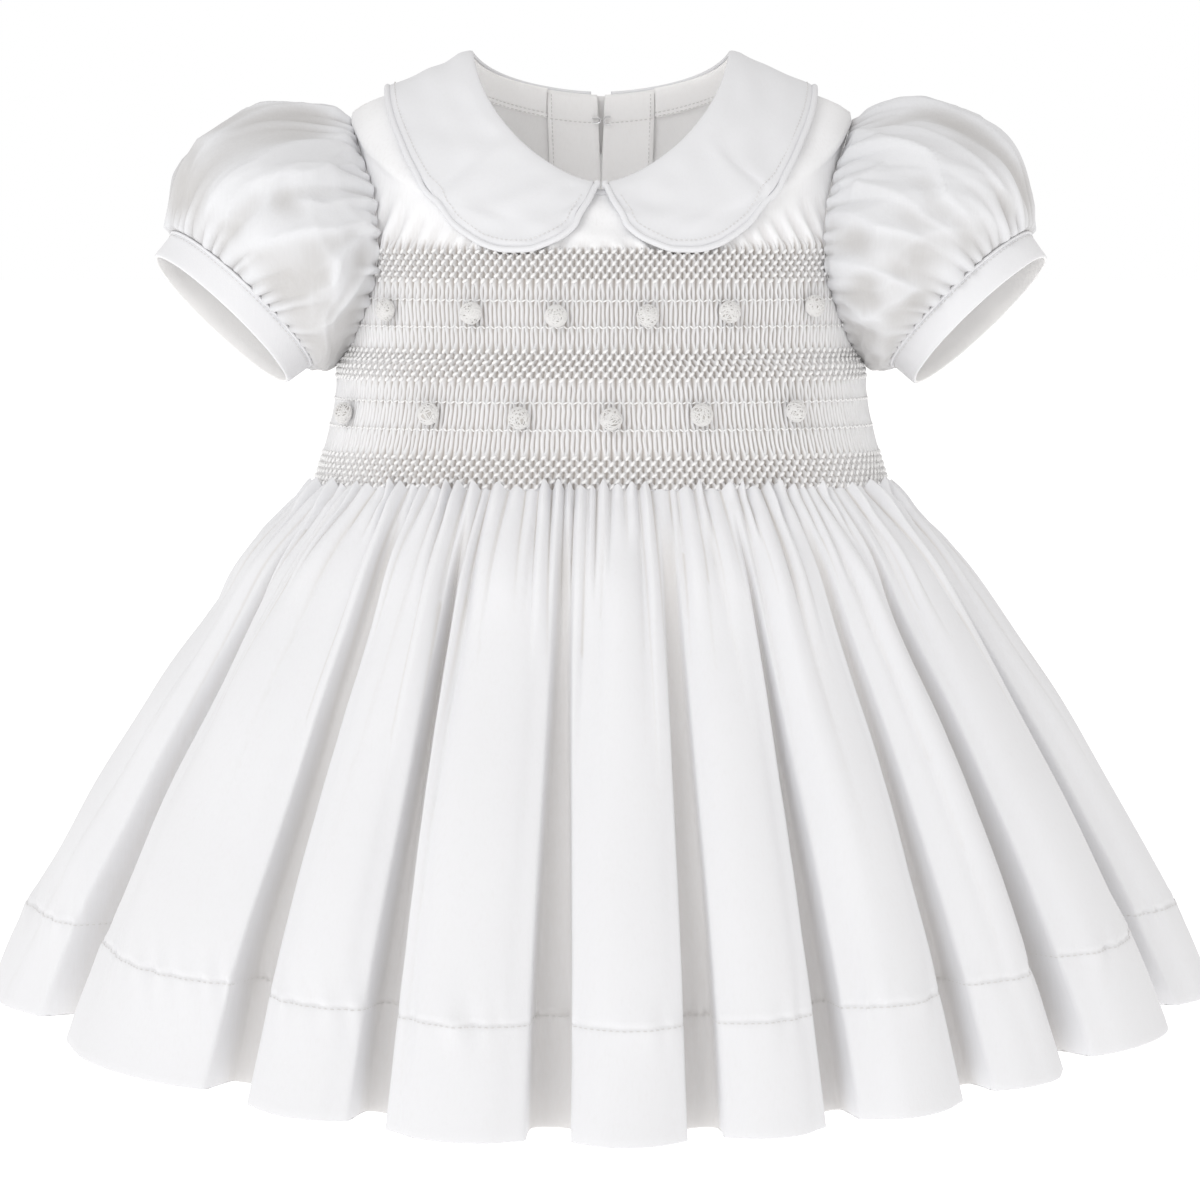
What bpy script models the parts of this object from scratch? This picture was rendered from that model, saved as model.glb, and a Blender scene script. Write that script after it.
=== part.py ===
"""Toddler's puff sleeve dress in white cotton: smocked front, round collar and gathered skirt.

Metres, +Z up, the front towards -Y. Zero is the middle of the neck opening, 8 mm below the
top of the collar. "left" is the left-hand side as seen from the front.
"""
import bmesh
import bpy
import numpy as np
from math import pi, radians, sqrt
from mathutils import Matrix, Vector

NAME = "puff_sleeve_dress"

SEAM_GAP = 0.0003
HALF_SEAM = 0.0002
CLOTH = 0.0013
SHOULDER_ROUNDING = 0.12

SMOCK_TOP = 0.36
RIB_HEIGHT = 0.0009
RIBS = 52
BAND_ROWS = 4
HONEYCOMB_BANDS = ((0.367, 0.445), (0.631, 0.709), (0.914, 0.992))
CABLE_LINES = (0.496, 0.567, 0.768, 0.841)
CABLE_DIP = 0.6
LEANS = {1: 0.62, 2: -0.62}
YOKE_COLUMNS = 24
INSIDE_COLUMNS = 16

BINDING_HEIGHT = 0.0038
BINDING_THICKNESS = 0.0013
FACING_DEPTH = 0.012
PLACKET_WIDTH = 0.023
LAYER = 0.0012
BACKING_GAP = 0.0004
FACING_MARGIN = 0.4
FACING_END = 91.0
COLLAR_THICKNESS = 0.0018
PIPING_RADIUS = 0.0014

SKIRT_WALL = 0.0015
HEM_WALL = 0.0024
HEM_LINE = 0.825
HEM_HALF_WIDTH = 0.2600
HEM_HALF_DEPTH = 0.1900
HEM_SIDE_Z = -0.4050
HEM_FRONT_DROP = 0.0290
HEM_BACK_DROP = 0.0200
FLUTE_SLOPE = 0.236
FLUTE_DEPTH_LIMIT = 0.0165
FLUTE_BROADENING = 0.35
FLUTE_UNDERCUT = 0.237
SEAM_TURN = 0.004
GATHER_START = 0.03
WAIST_GAP = 0.0004
FLUTES_AT_WAIST = 0.42
SIDE_SLIDE_TURN = 0.15
FRONT_GATHERS = 44
BACK_GATHERS = 28

CUFF_CENTRE = (-0.1586, -0.0150, -0.1010)
CUFF_LONG_AXIS = (0.7250, 0.0000, -0.6870)
CUFF_SHORT_AXIS = (0.1920, -0.9610, 0.2030)
CUFF_RUN = (-0.6600, -0.2800, -0.7000)
CUFF_HALF_LONG = (0.0417, 0.0402)
CUFF_HALF_SHORT = (0.0310, 0.0302)
CUFF_WIDTH = 0.0135
CUFF_THICKNESS = 0.0022
SLEEVE_WALL = 0.0013
SLEEVE_GATHERS = 18
SLEEVE_FULL_RUN = 0.05
ARMHOLE_GAP = 0.00045
CUFF_GAP = -0.03
ARMHOLE_SOFTENING = 0.02
ARMHOLE_STEPS = 120
SLEEVE_ROWS = (0.0, 0.07, 0.2, 0.38, 0.58, 0.78, 0.92, 1.0)

BALL_RADIUS = 0.0049
BALL_THICKNESS = 0.0037

# The level rows of the front from the neck to the waist. On each one: how far down the panel it is,
# the middle of it (y, z), its outer end (x, y, z), how square it runs round and how it sags.
FRONT_ROWS = (
    (0.00, -0.0560, -0.0532, 0.0585, 0.0000, 0.0050, 2.40, 1.35),
    (0.08, -0.0625, -0.0602, 0.0840, 0.0000, -0.0070, 2.30, 1.55),
    (0.16, -0.0668, -0.0660, 0.1107, 0.0000, -0.0210, 2.20, 1.85),
    (0.22, -0.0690, -0.0705, 0.1060, -0.0150, -0.0363, 2.20, 1.85),
    (0.28, -0.0710, -0.0745, 0.0997, -0.0300, -0.0535, 2.20, 1.85),
    (0.33, -0.0722, -0.0773, 0.0968, -0.0400, -0.0685, 2.20, 1.90),
    (0.36, -0.0730, -0.0795, 0.0965, -0.0440, -0.0785, 2.20, 2.00),
    (0.43, -0.0765, -0.0905, 0.0975, -0.0440, -0.0898, 2.20, 2.00),
    (0.50, -0.0785, -0.1016, 0.1009, -0.0415, -0.1012, 2.20, 2.00),
    (0.57, -0.0800, -0.1126, 0.1055, -0.0345, -0.1126, 2.20, 2.00),
    (0.62, -0.0810, -0.1205, 0.1095, -0.0255, -0.1210, 2.20, 2.00),
    (0.65, -0.0820, -0.1253, 0.1130, -0.0150, -0.1260, 2.20, 2.00),
    (0.67, -0.0825, -0.1284, 0.1157, 0.0000, -0.1290, 2.25, 2.00),
    (0.78, -0.0850, -0.1458, 0.1178, 0.0000, -0.1470, 2.30, 2.00),
    (0.88, -0.0865, -0.1616, 0.1215, 0.0000, -0.1635, 2.30, 2.00),
    (1.00, -0.0880, -0.1805, 0.1274, 0.0000, -0.1840, 2.30, 2.00),
)

# The same for the back.
BACK_ROWS = (
    (0.00, 0.0480, -0.0105, 0.0585, 0.0000, 0.0050, 2.12, 1.50),
    (0.08, 0.0580, -0.0300, 0.0840, 0.0000, -0.0070, 2.10, 1.50),
    (0.16, 0.0640, -0.0500, 0.1107, 0.0000, -0.0210, 2.20, 1.60),
    (0.24, 0.0675, -0.0660, 0.1068, 0.0200, -0.0430, 2.20, 1.70),
    (0.34, 0.0700, -0.0810, 0.1040, 0.0330, -0.0670, 2.30, 1.90),
    (0.44, 0.0720, -0.0940, 0.1036, 0.0365, -0.0880, 2.30, 2.00),
    (0.54, 0.0740, -0.1080, 0.1055, 0.0335, -0.1065, 2.30, 2.00),
    (0.61, 0.0755, -0.1190, 0.1095, 0.0230, -0.1200, 2.30, 2.00),
    (0.65, 0.0760, -0.1250, 0.1130, 0.0120, -0.1260, 2.30, 2.00),
    (0.67, 0.0765, -0.1278, 0.1157, 0.0000, -0.1290, 2.30, 2.00),
    (0.78, 0.0780, -0.1460, 0.1178, 0.0000, -0.1470, 2.30, 2.00),
    (0.88, 0.0795, -0.1620, 0.1215, 0.0000, -0.1635, 2.30, 2.00),
    (1.00, 0.0815, -0.1815, 0.1274, 0.0000, -0.1840, 2.30, 2.00),
)
TIP_ROW = 0.16
UNDERARM_ROW = 0.67

# Half the gap of the back opening, down the panel.
OPENING = ((0.0, 0.0018), (0.16, 0.0005), (0.3, 0.0003), (1.0, 0.0003))

# The collar from the front neck to the back neck: share of its length, where it meets the neck and
# where its outer edge is (degrees round from the front, and how far down the panel).
COLLAR = (
    (0.00, 0.9, 4.6, 0.220),
    (0.04, 3.0, 6.8, 0.280),
    (0.08, 6.5, 9.1, 0.330),
    (0.13, 11.5, 13.2, 0.366),
    (0.18, 17.0, 18.0, 0.367),
    (0.23, 22.5, 23.3, 0.349),
    (0.28, 28.5, 29.5, 0.317),
    (0.33, 35.0, 35.4, 0.273),
    (0.37, 39.5, 38.9, 0.198),
    (0.41, 44.5, 43.0, 0.148),
    (0.45, 51.5, 51.1, 0.127),
    (0.50, 60.5, 60.3, 0.115),
    (0.55, 70.5, 70.3, 0.109),
    (0.60, 82.5, 82.5, 0.105),
    (0.63, 90.0, 90.0, 0.104),
    (0.66, 98.0, 98.0, 0.106),
    (0.76, 122.0, 121.0, 0.130),
    (0.87, 152.0, 149.5, 0.158),
    (0.93, 164.0, 161.0, 0.164),
    (0.965, 170.5, 168.0, 0.160),
    (0.985, 174.5, 172.2, 0.147),
    (1.00, 177.3, 174.6, 0.118),
)
# Across the collar: share of its width, height of its outer side over the panel. The first two
# rows are the roll, which stands above the neck edge by the third number, and by the fourth as well
# where it is full.
COLLAR_ROWS = (
    (0.00, -0.0002, 0.0011, 0.0008),
    (0.00, 0.0014, 0.0021, 0.0012),
    (0.05, 0.0033, 0.0, 0.0),
    (0.35, 0.0031, 0.0, 0.0),
    (0.70, 0.0033, 0.0, 0.0),
    (1.00, 0.0040, 0.0, 0.0),
)
COLLAR_COLUMNS = (
    0.0, 0.03, 0.06, 0.09, 0.12, 0.15, 0.19, 0.23, 0.28, 0.33, 0.37, 0.41, 0.45, 0.50, 0.55, 0.60,
    0.63, 0.66, 0.71, 0.76, 0.81, 0.87, 0.92, 0.955, 0.98, 1.0,
)
COLLAR_END_STEPS = (0.85, 0.6, 0.3, 0.08)
DRAW_IN_STEPS = 5
COLLAR_BORDER = 0.0012
# How much of the roll there is, by degrees round from the front.
ROLL = ((0.0, 0.0), (30.0, 1.0), (100.0, 1.0), (150.0, 0.0), (180.0, 0.0))

# How the skirt opens out: share of the drop, share of the way out.
FLARE = (
    (0.0, 0.0), (0.103, 0.150), (0.25, 0.315), (0.4, 0.479), (0.617, 0.692), (0.795, 0.846),
    (1.0, 1.0),
)
# Share of the drop, how full the flutes are, how deep the gathers are.
FULLNESS = (
    (0.00, 0.00, 0.0008),
    (0.05, 0.10, 0.0020),
    (0.15, 0.35, 0.0022),
    (0.30, 0.62, 0.0013),
    (0.50, 0.85, 0.0005),
    (0.75, 0.97, 0.0000),
    (1.00, 1.00, 0.0000),
)
# Valleys and crests of the hem in turn, in degrees round from the front or the back.
FRONT_TURNS = (
    -90.0, -78.0, -63.0, -46.3, -35.3, -28.8, -21.0, -13.3, -4.6, 3.2, 9.2, 15.1, 21.8, 30.2, 35.8,
    42.6, 48.8, 58.5, 69.0, 79.5, 90.0,
)
BACK_TURNS = (
    -90.0, -78.0, -66.0, -55.0, -44.5, -33.0, -23.0, -12.0, -2.0, 8.5, 18.5, 30.0, 41.0, 51.0, 60.0,
    76.0, 90.0,
)
SKIRT_ROWS = (0.0, 0.05, 0.14, 0.28, 0.46, 0.66, HEM_LINE, 1.0)

# Round the sleeve from the shoulder tip over the front: how the cloth leaves the armhole and how it
# comes in to the cuff, as steps from the two ends of each line of cloth.
SLEEVE_LINES = (
    (-0.125, -0.0270, 0.0140, 0.0160, -0.0020, 0.0180, 0.0400),
    (0.000, -0.0313, 0.0000, 0.0220, -0.0090, 0.0000, 0.0460),
    (0.125, -0.0270, -0.0170, 0.0160, 0.0030, -0.0220, 0.0360),
    (0.250, -0.0150, -0.0260, 0.0030, 0.0220, -0.0280, 0.0100),
    (0.375, -0.0080, -0.0160, -0.0040, 0.0100, -0.0140, -0.0040),
    (0.500, -0.0045, -0.0030, -0.0060, 0.0035, 0.0020, -0.0060),
    (0.625, -0.0070, 0.0120, -0.0050, 0.0080, 0.0140, -0.0040),
    (0.750, -0.0150, 0.0200, 0.0030, 0.0150, 0.0260, 0.0150),
    (0.875, -0.0270, 0.0140, 0.0160, -0.0020, 0.0180, 0.0400),
    (1.000, -0.0313, 0.0000, 0.0220, -0.0090, 0.0000, 0.0460),
    (1.125, -0.0270, -0.0170, 0.0160, 0.0030, -0.0220, 0.0360),
)
# Along the sleeve: share of its length, depth of the gathers, depth of the soft creases.
SLEEVE_FOLDS = (
    (0.00, 0.0000, 0.0000),
    (0.06, 0.0012, 0.0004),
    (0.15, 0.0011, 0.0010),
    (0.35, 0.0004, 0.0016),
    (0.60, 0.0004, 0.0014),
    (0.86, 0.0011, 0.0008),
    (0.94, 0.0011, 0.0003),
    (1.00, 0.0000, 0.0000),
)

# The two sets of soft creases: how many go round, how they slant, where they start, their size.
SLEEVE_CREASES = ((3, 0.7, 0.0, 1.0), (5, -0.9, 1.3, 0.7))

# Where the embroidered balls are: degrees round from the front, how far down the panel, and how far
# the underside stands off the panel where it rests on the ribs.
BALLS = (
    (-50.0, 0.524, 0.00089), (-25.9, 0.531, 0.00098), (-7.8, 0.538, 0.00074),
    (8.2, 0.538, 0.00087), (25.6, 0.528, 0.00089), (49.4, 0.514, 0.00070),
    (-64.0, 0.807, 0.00106), (-34.2, 0.801, 0.00062), (-13.8, 0.809, 0.00048),
    (1.2, 0.811, 0.00084), (17.6, 0.801, 0.00055), (40.4, 0.795, 0.00085),
)

HOOK_ROW = 0.036
WIRE_RADIUS = 0.0004
HOOK_CLEARANCE = 0.0012
# Half of each wire, from its end to its middle: distance from the centre back, height over the middle.
HOOK_LINE = ((-0.0040, 0.0012), (-0.0012, 0.0012), (-0.0004, 0.0007), (-0.0001, 0.0))
EYE_LINE = ((0.0044, 0.0020), (0.0024, 0.0020), (0.0014, 0.0012), (0.0011, 0.0))
TAB_HALF_WIDTH = 0.0075
TAB_ROWS = (0.014, 0.105)
SIDES = (("left", -1), ("right", 1))


def glide(table, at):
    """Every other column of a table where its first column is `at`, by a monotone cubic."""
    data = np.array(table, float)
    knots = data[:, 0]
    values = data[:, 1:]
    step = np.diff(knots)[:, None]
    slope = np.diff(values, axis=0) / step
    same = slope[:-1] * slope[1:] > 0
    total = np.where(same, slope[:-1] + slope[1:], 1.0)
    inner = np.where(same, 2 * slope[:-1] * slope[1:] / total, 0.0)
    tangent = np.vstack([slope[:1], inner, slope[-1:]])
    at = np.clip(np.asarray(at, float), knots[0], knots[-1])
    i = np.clip(np.searchsorted(knots, at, side="right") - 1, 0, len(knots) - 2)
    f = ((at - knots[i]) / step[i, 0])[..., None]
    start = (1 + 2 * f) * (1 - f) ** 2 * values[i] + f * (1 - f) ** 2 * step[i] * tangent[i]
    end = f * f * (3 - 2 * f) * values[i + 1] + f * f * (f - 1) * step[i] * tangent[i + 1]
    return start + end


def power(value, exponent):
    return np.sign(value) * np.abs(value) ** exponent


def unit(vectors):
    return vectors / np.linalg.norm(vectors, axis=-1, keepdims=True)


def edge_turn(rows, v):
    """How far round the end of a row is."""
    values = glide(rows, v)
    share = (values[..., 3] / values[..., 0]) ** (values[..., 5] / 2)
    return np.arccos(np.clip(share, 0, 1))


def turn_at(rows, v, x):
    """How far round a row reaches the distance x from the middle."""
    values = glide(rows, v)
    square = values[..., 5]
    half = values[..., 2] / np.sin(edge_turn(rows, v)) ** (2 / square)
    return np.arcsin(np.clip(x / half, 0, 1) ** (square / 2))


def body(rows, u, v):
    """The point of the bodice u radians round from its middle on row v."""
    u, v = np.broadcast_arrays(np.asarray(u, float), np.asarray(v, float))
    mid_y, mid_z, end_x, _, end_z, square, sag = np.moveaxis(glide(rows, v), -1, 0)
    turn = edge_turn(rows, v)
    half = end_x / np.sin(turn) ** (2 / square)
    x = half * power(np.sin(u), 2 / square)
    y = mid_y * power(np.cos(u), 2 / square)
    beyond = 1 - np.abs(u) / turn
    rounded = np.sqrt(beyond ** 2 + SHOULDER_ROUNDING ** 2) - SHOULDER_ROUNDING
    whole = sqrt(1 + SHOULDER_ROUNDING ** 2) - SHOULDER_ROUNDING
    z = mid_z + (end_z - mid_z) * np.clip(1 - rounded / whole, 0, 1) ** sag
    return np.stack([x, y, z], -1)


def body_normal(rows, u, v):
    """Straight out of the bodice."""
    step = 0.001
    across = body(rows, u + step, v) - body(rows, u - step, v)
    down = body(rows, u, np.clip(v + step, 0, 1)) - body(rows, u, np.clip(v - step, 0, 1))
    return unit(np.cross(across, down) * np.sign(rows[0][1]))


def laid(rows, u, v, height):
    """A point that far over the bodice."""
    u, v, height = np.broadcast_arrays(u, v, height)
    return body(rows, u, v) + height[..., None] * body_normal(rows, u, v)


def round_neck(degrees, v, height):
    """The same, counted all the way round from the front: past 90 degrees is the back."""
    degrees, v, height = np.broadcast_arrays(np.asarray(degrees, float), v, height)
    front = laid(FRONT_ROWS, np.radians(degrees), v, height)
    back = laid(BACK_ROWS, np.sign(degrees) * (pi - np.abs(np.radians(degrees))), v, height)
    return np.where((np.abs(degrees) <= 90)[..., None], front, back)


def row_after(degrees, length):
    """The row that lies that length down from the neck edge."""
    step = 0.004
    run = round_neck(degrees, step, 0.0) - round_neck(degrees, 0.0, 0.0)
    return length * step / np.linalg.norm(run, axis=-1)


def shifted(points, side):
    """A panel drawn back from the shoulder and side seams."""
    return points + np.array([0.0, side * HALF_SEAM, 0.0])


def material(name, colour, roughness=0.85, metallic=0.0):
    made = bpy.data.materials.new(name)
    made.use_nodes = True
    shader = made.node_tree.nodes["Principled BSDF"]
    shader.inputs["Base Color"].default_value = (*colour, 1.0)
    shader.inputs["Roughness"].default_value = roughness
    shader.inputs["Metallic"].default_value = metallic
    return made


def add(name, mesh, colour, roughness=0.85, metallic=0.0):
    made = bpy.data.objects.new(name, mesh)
    made.data.materials.append(material(name, colour, roughness, metallic))
    dress.objects.link(made)
    return made


def grid_faces(rows, columns, closed, flip):
    faces = []
    for i in range(rows - 1):
        for j in range(columns if closed else columns - 1):
            k = (j + 1) % columns
            face = (i * columns + j, (i + 1) * columns + j, (i + 1) * columns + k, i * columns + k)
            faces.append(face[::-1] if flip else face)
    return faces


def cloth(name, grid, thickness, colour, closed=False, flip=False, thick_rows=None, thin=1.0):
    """A cloth wall: the outer side through a grid of points, the thickness inwards."""
    rows, columns = grid.shape[:2]
    mesh = bpy.data.meshes.new(name)
    mesh.from_pydata(grid.reshape(-1, 3).tolist(), [], grid_faces(rows, columns, closed, flip))
    made = add(name, mesh, colour)
    wall = made.modifiers.new("wall", "SOLIDIFY")
    wall.thickness = thickness
    wall.offset = -1
    if thick_rows is not None:
        group = made.vertex_groups.new(name="thickness")
        for i in range(rows):
            weight = 1.0 if i >= thick_rows else thin
            group.add(list(range(i * columns, (i + 1) * columns)), weight, "REPLACE")
        wall.vertex_group = "thickness"
    return made


def zip_rows(upper, lower):
    """Triangles between two rows of (place, vertex) that need not have as many vertices."""
    faces = []
    i = 0
    j = 0
    while i < len(upper) - 1 or j < len(lower) - 1:
        lower_done = j == len(lower) - 1
        upper_next = i < len(upper) - 1 and (lower_done or upper[i + 1][0] <= lower[j + 1][0])
        if upper_next:
            faces.append((upper[i][1], lower[j][1], upper[i + 1][1]))
            i += 1
        else:
            faces.append((upper[i][1], lower[j][1], lower[j + 1][1]))
            j += 1
    return faces


def rod(name, points, radius, colour, roughness=0.85, metallic=0.0):
    """A round cord or wire along a line of points."""
    curve = bpy.data.curves.new(name, "CURVE")
    curve.dimensions = "3D"
    curve.bevel_depth = radius
    curve.bevel_resolution = 2
    curve.use_fill_caps = True
    line = curve.splines.new("POLY")
    line.points.add(len(points) - 1)
    for target, point in zip(line.points, points):
        target.co = (*point, 1.0)
    return add(name, curve, colour, roughness, metallic)


for old in list(bpy.data.objects):
    bpy.data.objects.remove(old)
dress = bpy.data.collections.new(NAME)
bpy.context.scene.collection.children.link(dress)

WHITE = (0.86, 0.86, 0.88)
SMOCK_WHITE = (0.84, 0.83, 0.83)
INNER_WHITE = (0.80, 0.80, 0.81)
THREAD_WHITE = (0.85, 0.84, 0.83)
STEEL = (0.60, 0.60, 0.61)


# The front is one panel: plain over the shoulders, smocked from the chest to the waist. Its ribs are
# raised on the outside and lean against each other in the honeycomb bands, and its inside is plain.
smock_rows = [SMOCK_TOP]
band_of = {}
for top, bottom in HONEYCOMB_BANDS:
    for i in range(BAND_ROWS):
        v = top + (bottom - top) * i / (BAND_ROWS - 1)
        smock_rows.append(v)
        band_of[v] = i
smock_rows += CABLE_LINES
smock_rows = sorted(smock_rows) + [1.0]
yoke_rows = [0.0, 0.05, 0.105, 0.16, 0.22, 0.28, 0.325]
rib_turn = pi / (2 * RIBS)

front_points = []
front_faces = []


def front_row(v, places, turns, heights):
    """Puts one row of the panel in and gives back its (place, vertex) pairs."""
    start = row_after(np.degrees(turns), BINDING_HEIGHT + SEAM_GAP)
    down = start + (1 - start / TIP_ROW) * v if v < TIP_ROW else np.full(len(turns), v)
    first = len(front_points)
    front_points.extend(shifted(laid(FRONT_ROWS, turns, down, heights), -1).tolist())
    return [(place, first + k) for k, place in enumerate(places)]


outer = []
inner = []
for v in yoke_rows + smock_rows:
    end = float(edge_turn(FRONT_ROWS, v))
    turns = np.linspace(-end, end, (YOKE_COLUMNS if v in yoke_rows else INSIDE_COLUMNS) + 1)
    inner.append(front_row(v, turns, turns, np.full(len(turns), -CLOTH)))
    if v in yoke_rows:
        outer.append(front_row(v, turns, turns, np.zeros(len(turns))))
        continue
    last = int((end - 0.45 * rib_turn) / rib_turn)
    places = [-end]
    turns = [-end]
    heights = [0.0]
    for k in range(-last, last + 1):
        plain = k % 2 == 0 or last - abs(k) < 2
        lean = 0.0 if plain else LEANS.get(band_of.get(v), 0.0) * (1 if k % 4 == 1 else -1)
        places.append(k * rib_turn)
        turns.append((k + lean) * rib_turn)
        if plain or v == SMOCK_TOP:
            heights.append(0.0)
        else:
            heights.append(RIB_HEIGHT * (CABLE_DIP if v in CABLE_LINES else 1.0))
    places.append(end)
    turns.append(end)
    heights.append(0.0)
    outer.append(front_row(v, places, np.array(turns), np.array(heights)))
for i in range(len(outer) - 1):
    front_faces += zip_rows(outer[i], outer[i + 1])
    front_faces += [face[::-1] for face in zip_rows(inner[i], inner[i + 1])]
    left = (outer[i][0][1], inner[i][0][1], inner[i + 1][0][1], outer[i + 1][0][1])
    right = (outer[i][-1][1], inner[i][-1][1], inner[i + 1][-1][1], outer[i + 1][-1][1])
    front_faces += [left, right[::-1]]
front_faces += zip_rows(inner[0], outer[0])
front_faces += zip_rows(outer[-1], inner[-1])
front_mesh = bpy.data.meshes.new("front_bodice")
front_mesh.from_pydata(front_points, [], front_faces)
add("front_bodice", front_mesh, SMOCK_WHITE)


# The two backs are plain and meet along the centre back opening.
BACK_PANEL_ROWS = (0.0, 0.05, 0.105, 0.16, 0.25, 0.35, 0.45, 0.55, 0.62, 0.67, 0.78, 0.9, 1.0)
BACK_PANEL_COLUMNS = 10
for side, sign in SIDES:
    grid = []
    for v in BACK_PANEL_ROWS:
        end = float(edge_turn(BACK_ROWS, v))
        start = float(turn_at(BACK_ROWS, v, glide(OPENING, v)[0]))
        turns = np.linspace(start, end, BACK_PANEL_COLUMNS + 1)
        neck = row_after(180 - np.degrees(turns), BINDING_HEIGHT + SEAM_GAP)
        down = neck + (1 - neck / TIP_ROW) * v if v < TIP_ROW else np.full(len(turns), v)
        grid.append(shifted(laid(BACK_ROWS, sign * turns, down, 0.0), 1))
    cloth(f"back_bodice_{side}", np.array(grid), CLOTH, WHITE, flip=sign > 0)


# A narrow binding runs round the whole neck edge.
BINDING_BACK = np.linspace(99, 177.6, 8)
binding_turns = np.concatenate([-BINDING_BACK[::-1], np.linspace(-90, 90, 25), BINDING_BACK])
binding_end = row_after(binding_turns, BINDING_HEIGHT)
binding = [round_neck(binding_turns, binding_end * share, 0.0) for share in (0.0, 1.0)]
cloth("neck_binding", np.array(binding), BINDING_THICKNESS, WHITE)


# Inside the back neck each side has a shaped facing, and a placket runs down beside the opening.
FACING_COLUMNS = 10
PLACKET_ROWS = (0.0, 0.05, 0.105, 0.16, 0.3, 0.45, 0.62, 0.8, 0.97)
inside = -(CLOTH + BACKING_GAP)
for side, sign in SIDES:
    grid = []
    beside = glide(OPENING, 0.0)[0] + PLACKET_WIDTH + SEAM_GAP
    first = 180 - np.degrees(float(turn_at(BACK_ROWS, 0.0, beside)))
    turns = np.linspace(first - FACING_MARGIN, FACING_END, FACING_COLUMNS + 1)
    deep = row_after(turns, FACING_DEPTH)
    for share in (0.0, 0.5, 1.0):
        grid.append(round_neck(sign * turns, deep * share, inside))
    cloth(f"neck_facing_{side}", np.array(grid), LAYER, INNER_WHITE, flip=sign > 0)
    grid = []
    for v in PLACKET_ROWS:
        gap = glide(OPENING, v)[0]
        row = []
        for share in (0.0, 0.5, 1.0):
            turn = float(turn_at(BACK_ROWS, v, gap + PLACKET_WIDTH * share))
            row.append(laid(BACK_ROWS, sign * turn, v, inside))
        grid.append(row)
    cloth(f"back_placket_{side}", np.array(grid), LAYER, INNER_WHITE, flip=sign > 0)


# The collar is two layers, rolled over at the neck, and lies on the bodice. A corded piping
# follows its front, outer and back edges.
def drawn_in(line, distance):
    """A line of (degrees, row) round the collar, moved that far in towards its middle."""
    for _ in range(DRAW_IN_STEPS):
        degrees, row = line.T
        here = round_neck(degrees, row, 0.0)
        along = unit(np.gradient(here, axis=0))
        normal = unit(round_neck(degrees, row, 0.001) - here)
        move = distance / DRAW_IN_STEPS * np.cross(normal, along)
        by_degree = round_neck(degrees + 1, row, 0.0) - here
        by_row = (round_neck(degrees, row + 0.004, 0.0) - here) / 0.004
        aa = np.sum(by_degree * by_degree, -1)
        ab = np.sum(by_degree * by_row, -1)
        bb = np.sum(by_row * by_row, -1)
        am = np.sum(by_degree * move, -1)
        bm = np.sum(by_row * move, -1)
        scale = aa * bb - ab * ab
        line = line + np.stack([(am * bb - bm * ab) / scale, (bm * aa - am * ab) / scale], -1)
    return line


neck_turns, edge_turns, edge_rows = np.moveaxis(glide(COLLAR, COLLAR_COLUMNS), -1, 0)
outline = list(zip(edge_turns, edge_rows))
for width in COLLAR_END_STEPS:
    front_turn = neck_turns[0] + (edge_turns[0] - neck_turns[0]) * width
    back_turn = neck_turns[-1] + (edge_turns[-1] - neck_turns[-1]) * width
    outline.insert(0, (front_turn, edge_rows[0] * width))
    outline.append((back_turn, edge_rows[-1] * width))
cord = drawn_in(np.array(outline), SEAM_GAP)
border = drawn_in(np.array(outline), PIPING_RADIUS + COLLAR_BORDER)
stretch = (border[-1, 0] - border[0, 0]) / (neck_turns[-1] - neck_turns[0])
at_neck = border[0, 0] + (neck_turns - neck_turns[0]) * stretch
at_edge, edge_row = border[len(COLLAR_END_STEPS):-len(COLLAR_END_STEPS)].T
roll = glide(ROLL, at_neck)[..., 0]
for side, sign in SIDES:
    grid = []
    for width, height, rise, full_rise in COLLAR_ROWS:
        turns = sign * (at_neck + (at_edge - at_neck) * width)
        points = round_neck(turns, edge_row * width, height)
        up = unit(round_neck(turns, 0.0, 0.0) - round_neck(turns, 0.01, 0.0))
        grid.append(points + (rise + full_rise * roll)[:, None] * up)
    cloth(f"collar_{side}", np.array(grid), COLLAR_THICKNESS, WHITE, flip=sign < 0)
    line = round_neck(sign * cord[:, 0], cord[:, 1], COLLAR_ROWS[-1][1] - COLLAR_THICKNESS / 2)
    rod(f"piping_{side}", line.tolist(), PIPING_RADIUS, WHITE)


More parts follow.
